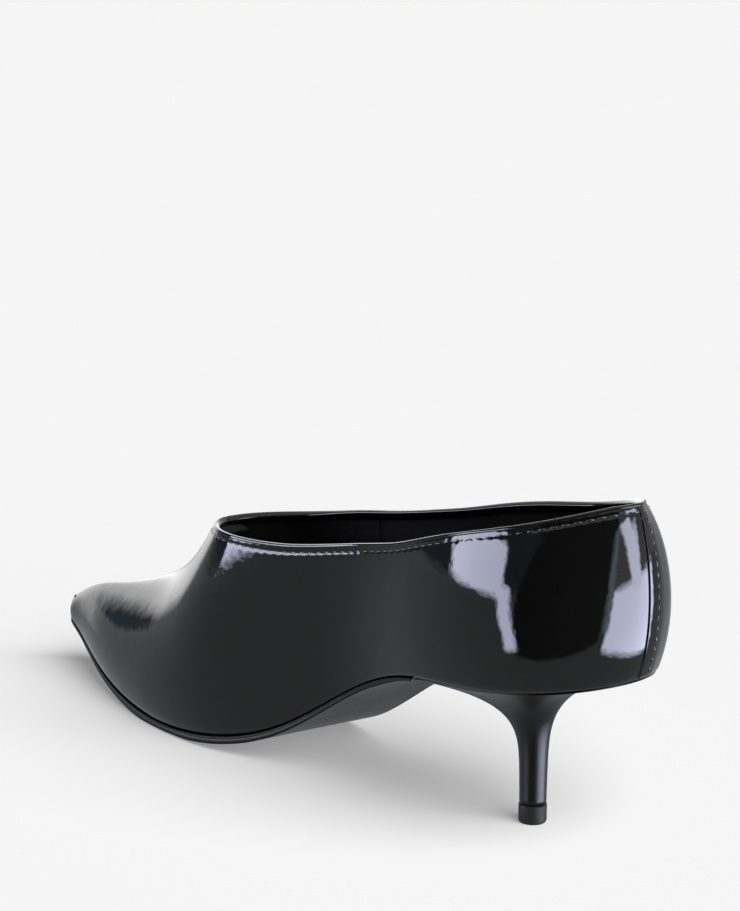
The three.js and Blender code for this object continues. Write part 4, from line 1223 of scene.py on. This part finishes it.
class Studio(Finish):
    """The surroundings, as light from far away that depends on the direction alone."""

    def __init__(self):
        self.grow(bpy.data.worlds.new("studio"), "Background")
        point = self.node("ShaderNodeTexCoord")
        self.direction = Field(self, point.socket.node.outputs["Generated"])

    def along(self, vector):
        """How far the direction points along a vector."""
        values = [self.direction, vector]
        product = self.node("ShaderNodeVectorMath", {"operation": "DOT_PRODUCT"}, values)
        return Field(self, product.socket.node.outputs["Value"])

    def window(self, azimuth, elevation, width, height, slant=0.0, soft=1.0):
        """1 inside a flat rectangle that faces the shoe, falling to 0 past its edges. Its sizes are
        degrees, and the slant moves its top sideways by a share of its height."""
        centre = toward(azimuth, elevation)
        depth = self.along(centre)
        x = self.along(toward(azimuth + 90, 0)) / depth
        y = self.along(centre.cross(toward(azimuth + 90, 0))) / depth
        blur = math.tan(math.radians(soft))
        share = depth.between(0, 0.05)
        for place, size in ((x + y * -slant, width), (y, height)):
            half = math.tan(math.radians(size / 2))
            share = share * (1 - abs(place).between(half - blur, half + blur))
        return share


def soft_white(level):
    """The slightly violet white of a soft box."""
    return (0.92 * level, 0.94 * level, 1.22 * level, 1.0)


# Azimuth, elevation, width, height, slant and softness of each, and its light. A later one lies over
# those before it.
windows = {
    "dark room behind the camera": (120, 11, 91, 83, 0, 2.5, grey(0.0012)),
    "grey panel over the toe": (35, 24, 80, 46, 0, 3, grey(0.16, -0.25)),
    "pale wall past the toe": (330, 7, 52, 27, 0, 5, grey(2.4)),
    "soft box off the toe": (46, 13.5, 34, 21, -0.3, 1.5, soft_white(11.5)),
    "low strip off the toe": (70.5, -7, 9, 30, -0.35, 1.5, soft_white(11.5)),
    "low soft box behind the heel": (200, -17, 56, 31, 0, 2, soft_white(14.0)),
    "slanted strip behind the heel": (192, 14, 13, 40, -0.6, 2, soft_white(13.0)),
    "thin strip behind the heel": (169, 6, 6, 50, 0, 2.5, grey(2.2, -0.2)),
}
studio = Studio()
height = studio.along(Vector((0, 0, 1)))
light = studio.blend(height.between(-0.02, 0.02), grey(0.50, -0.03), grey(0.913))
for *outline, colour in windows.values():
    light = studio.blend(studio.window(*outline), light, colour)
studio.set(color=light)
scene.world = studio.material
scene.world.cycles_visibility.diffuse = False

lamp = bpy.data.lights.new("overhead", "SUN")
lamp.angle = math.radians(SUN_SPREAD)
lamp.energy = SUN_STRENGTH
overhead = bpy.data.objects.new("overhead", lamp)
overhead.visible_glossy = False
overhead.rotation_euler = toward(*SUN_DIRECTION).to_track_quat("Z", "Y").to_euler()
scene.collection.objects.link(overhead)

CAMERA_AZIMUTH = 135.4
CAMERA_ELEVATION = 15.65
CAMERA_DISTANCE = 787.45
CAMERA_YAW = 1.2
CAMERA_PITCH = 3.57
CAMERA_TARGET = (0, -127.38, 45)
CAMERA_LENS = 99.63

camera = bpy.data.objects.new("camera", bpy.data.cameras.new("camera"))
scene.collection.objects.link(camera)
scene.camera = camera
camera.data.lens = CAMERA_LENS
target = Vector(last_origin) + Vector(CAMERA_TARGET) * MM
turn_z, rise = math.radians(CAMERA_AZIMUTH), math.radians(CAMERA_ELEVATION)
aim = Matrix.Rotation(turn_z, 4, "Z") @ Matrix.Rotation(math.pi / 2 - rise, 4, "X")
look = Matrix.Rotation(-math.radians(CAMERA_YAW), 4, "Y")
look @= Matrix.Rotation(math.radians(CAMERA_PITCH), 4, "X")
away = Matrix.Translation((0, 0, CAMERA_DISTANCE * MM))
camera.matrix_world = Matrix.Translation(target) @ aim @ away @ look
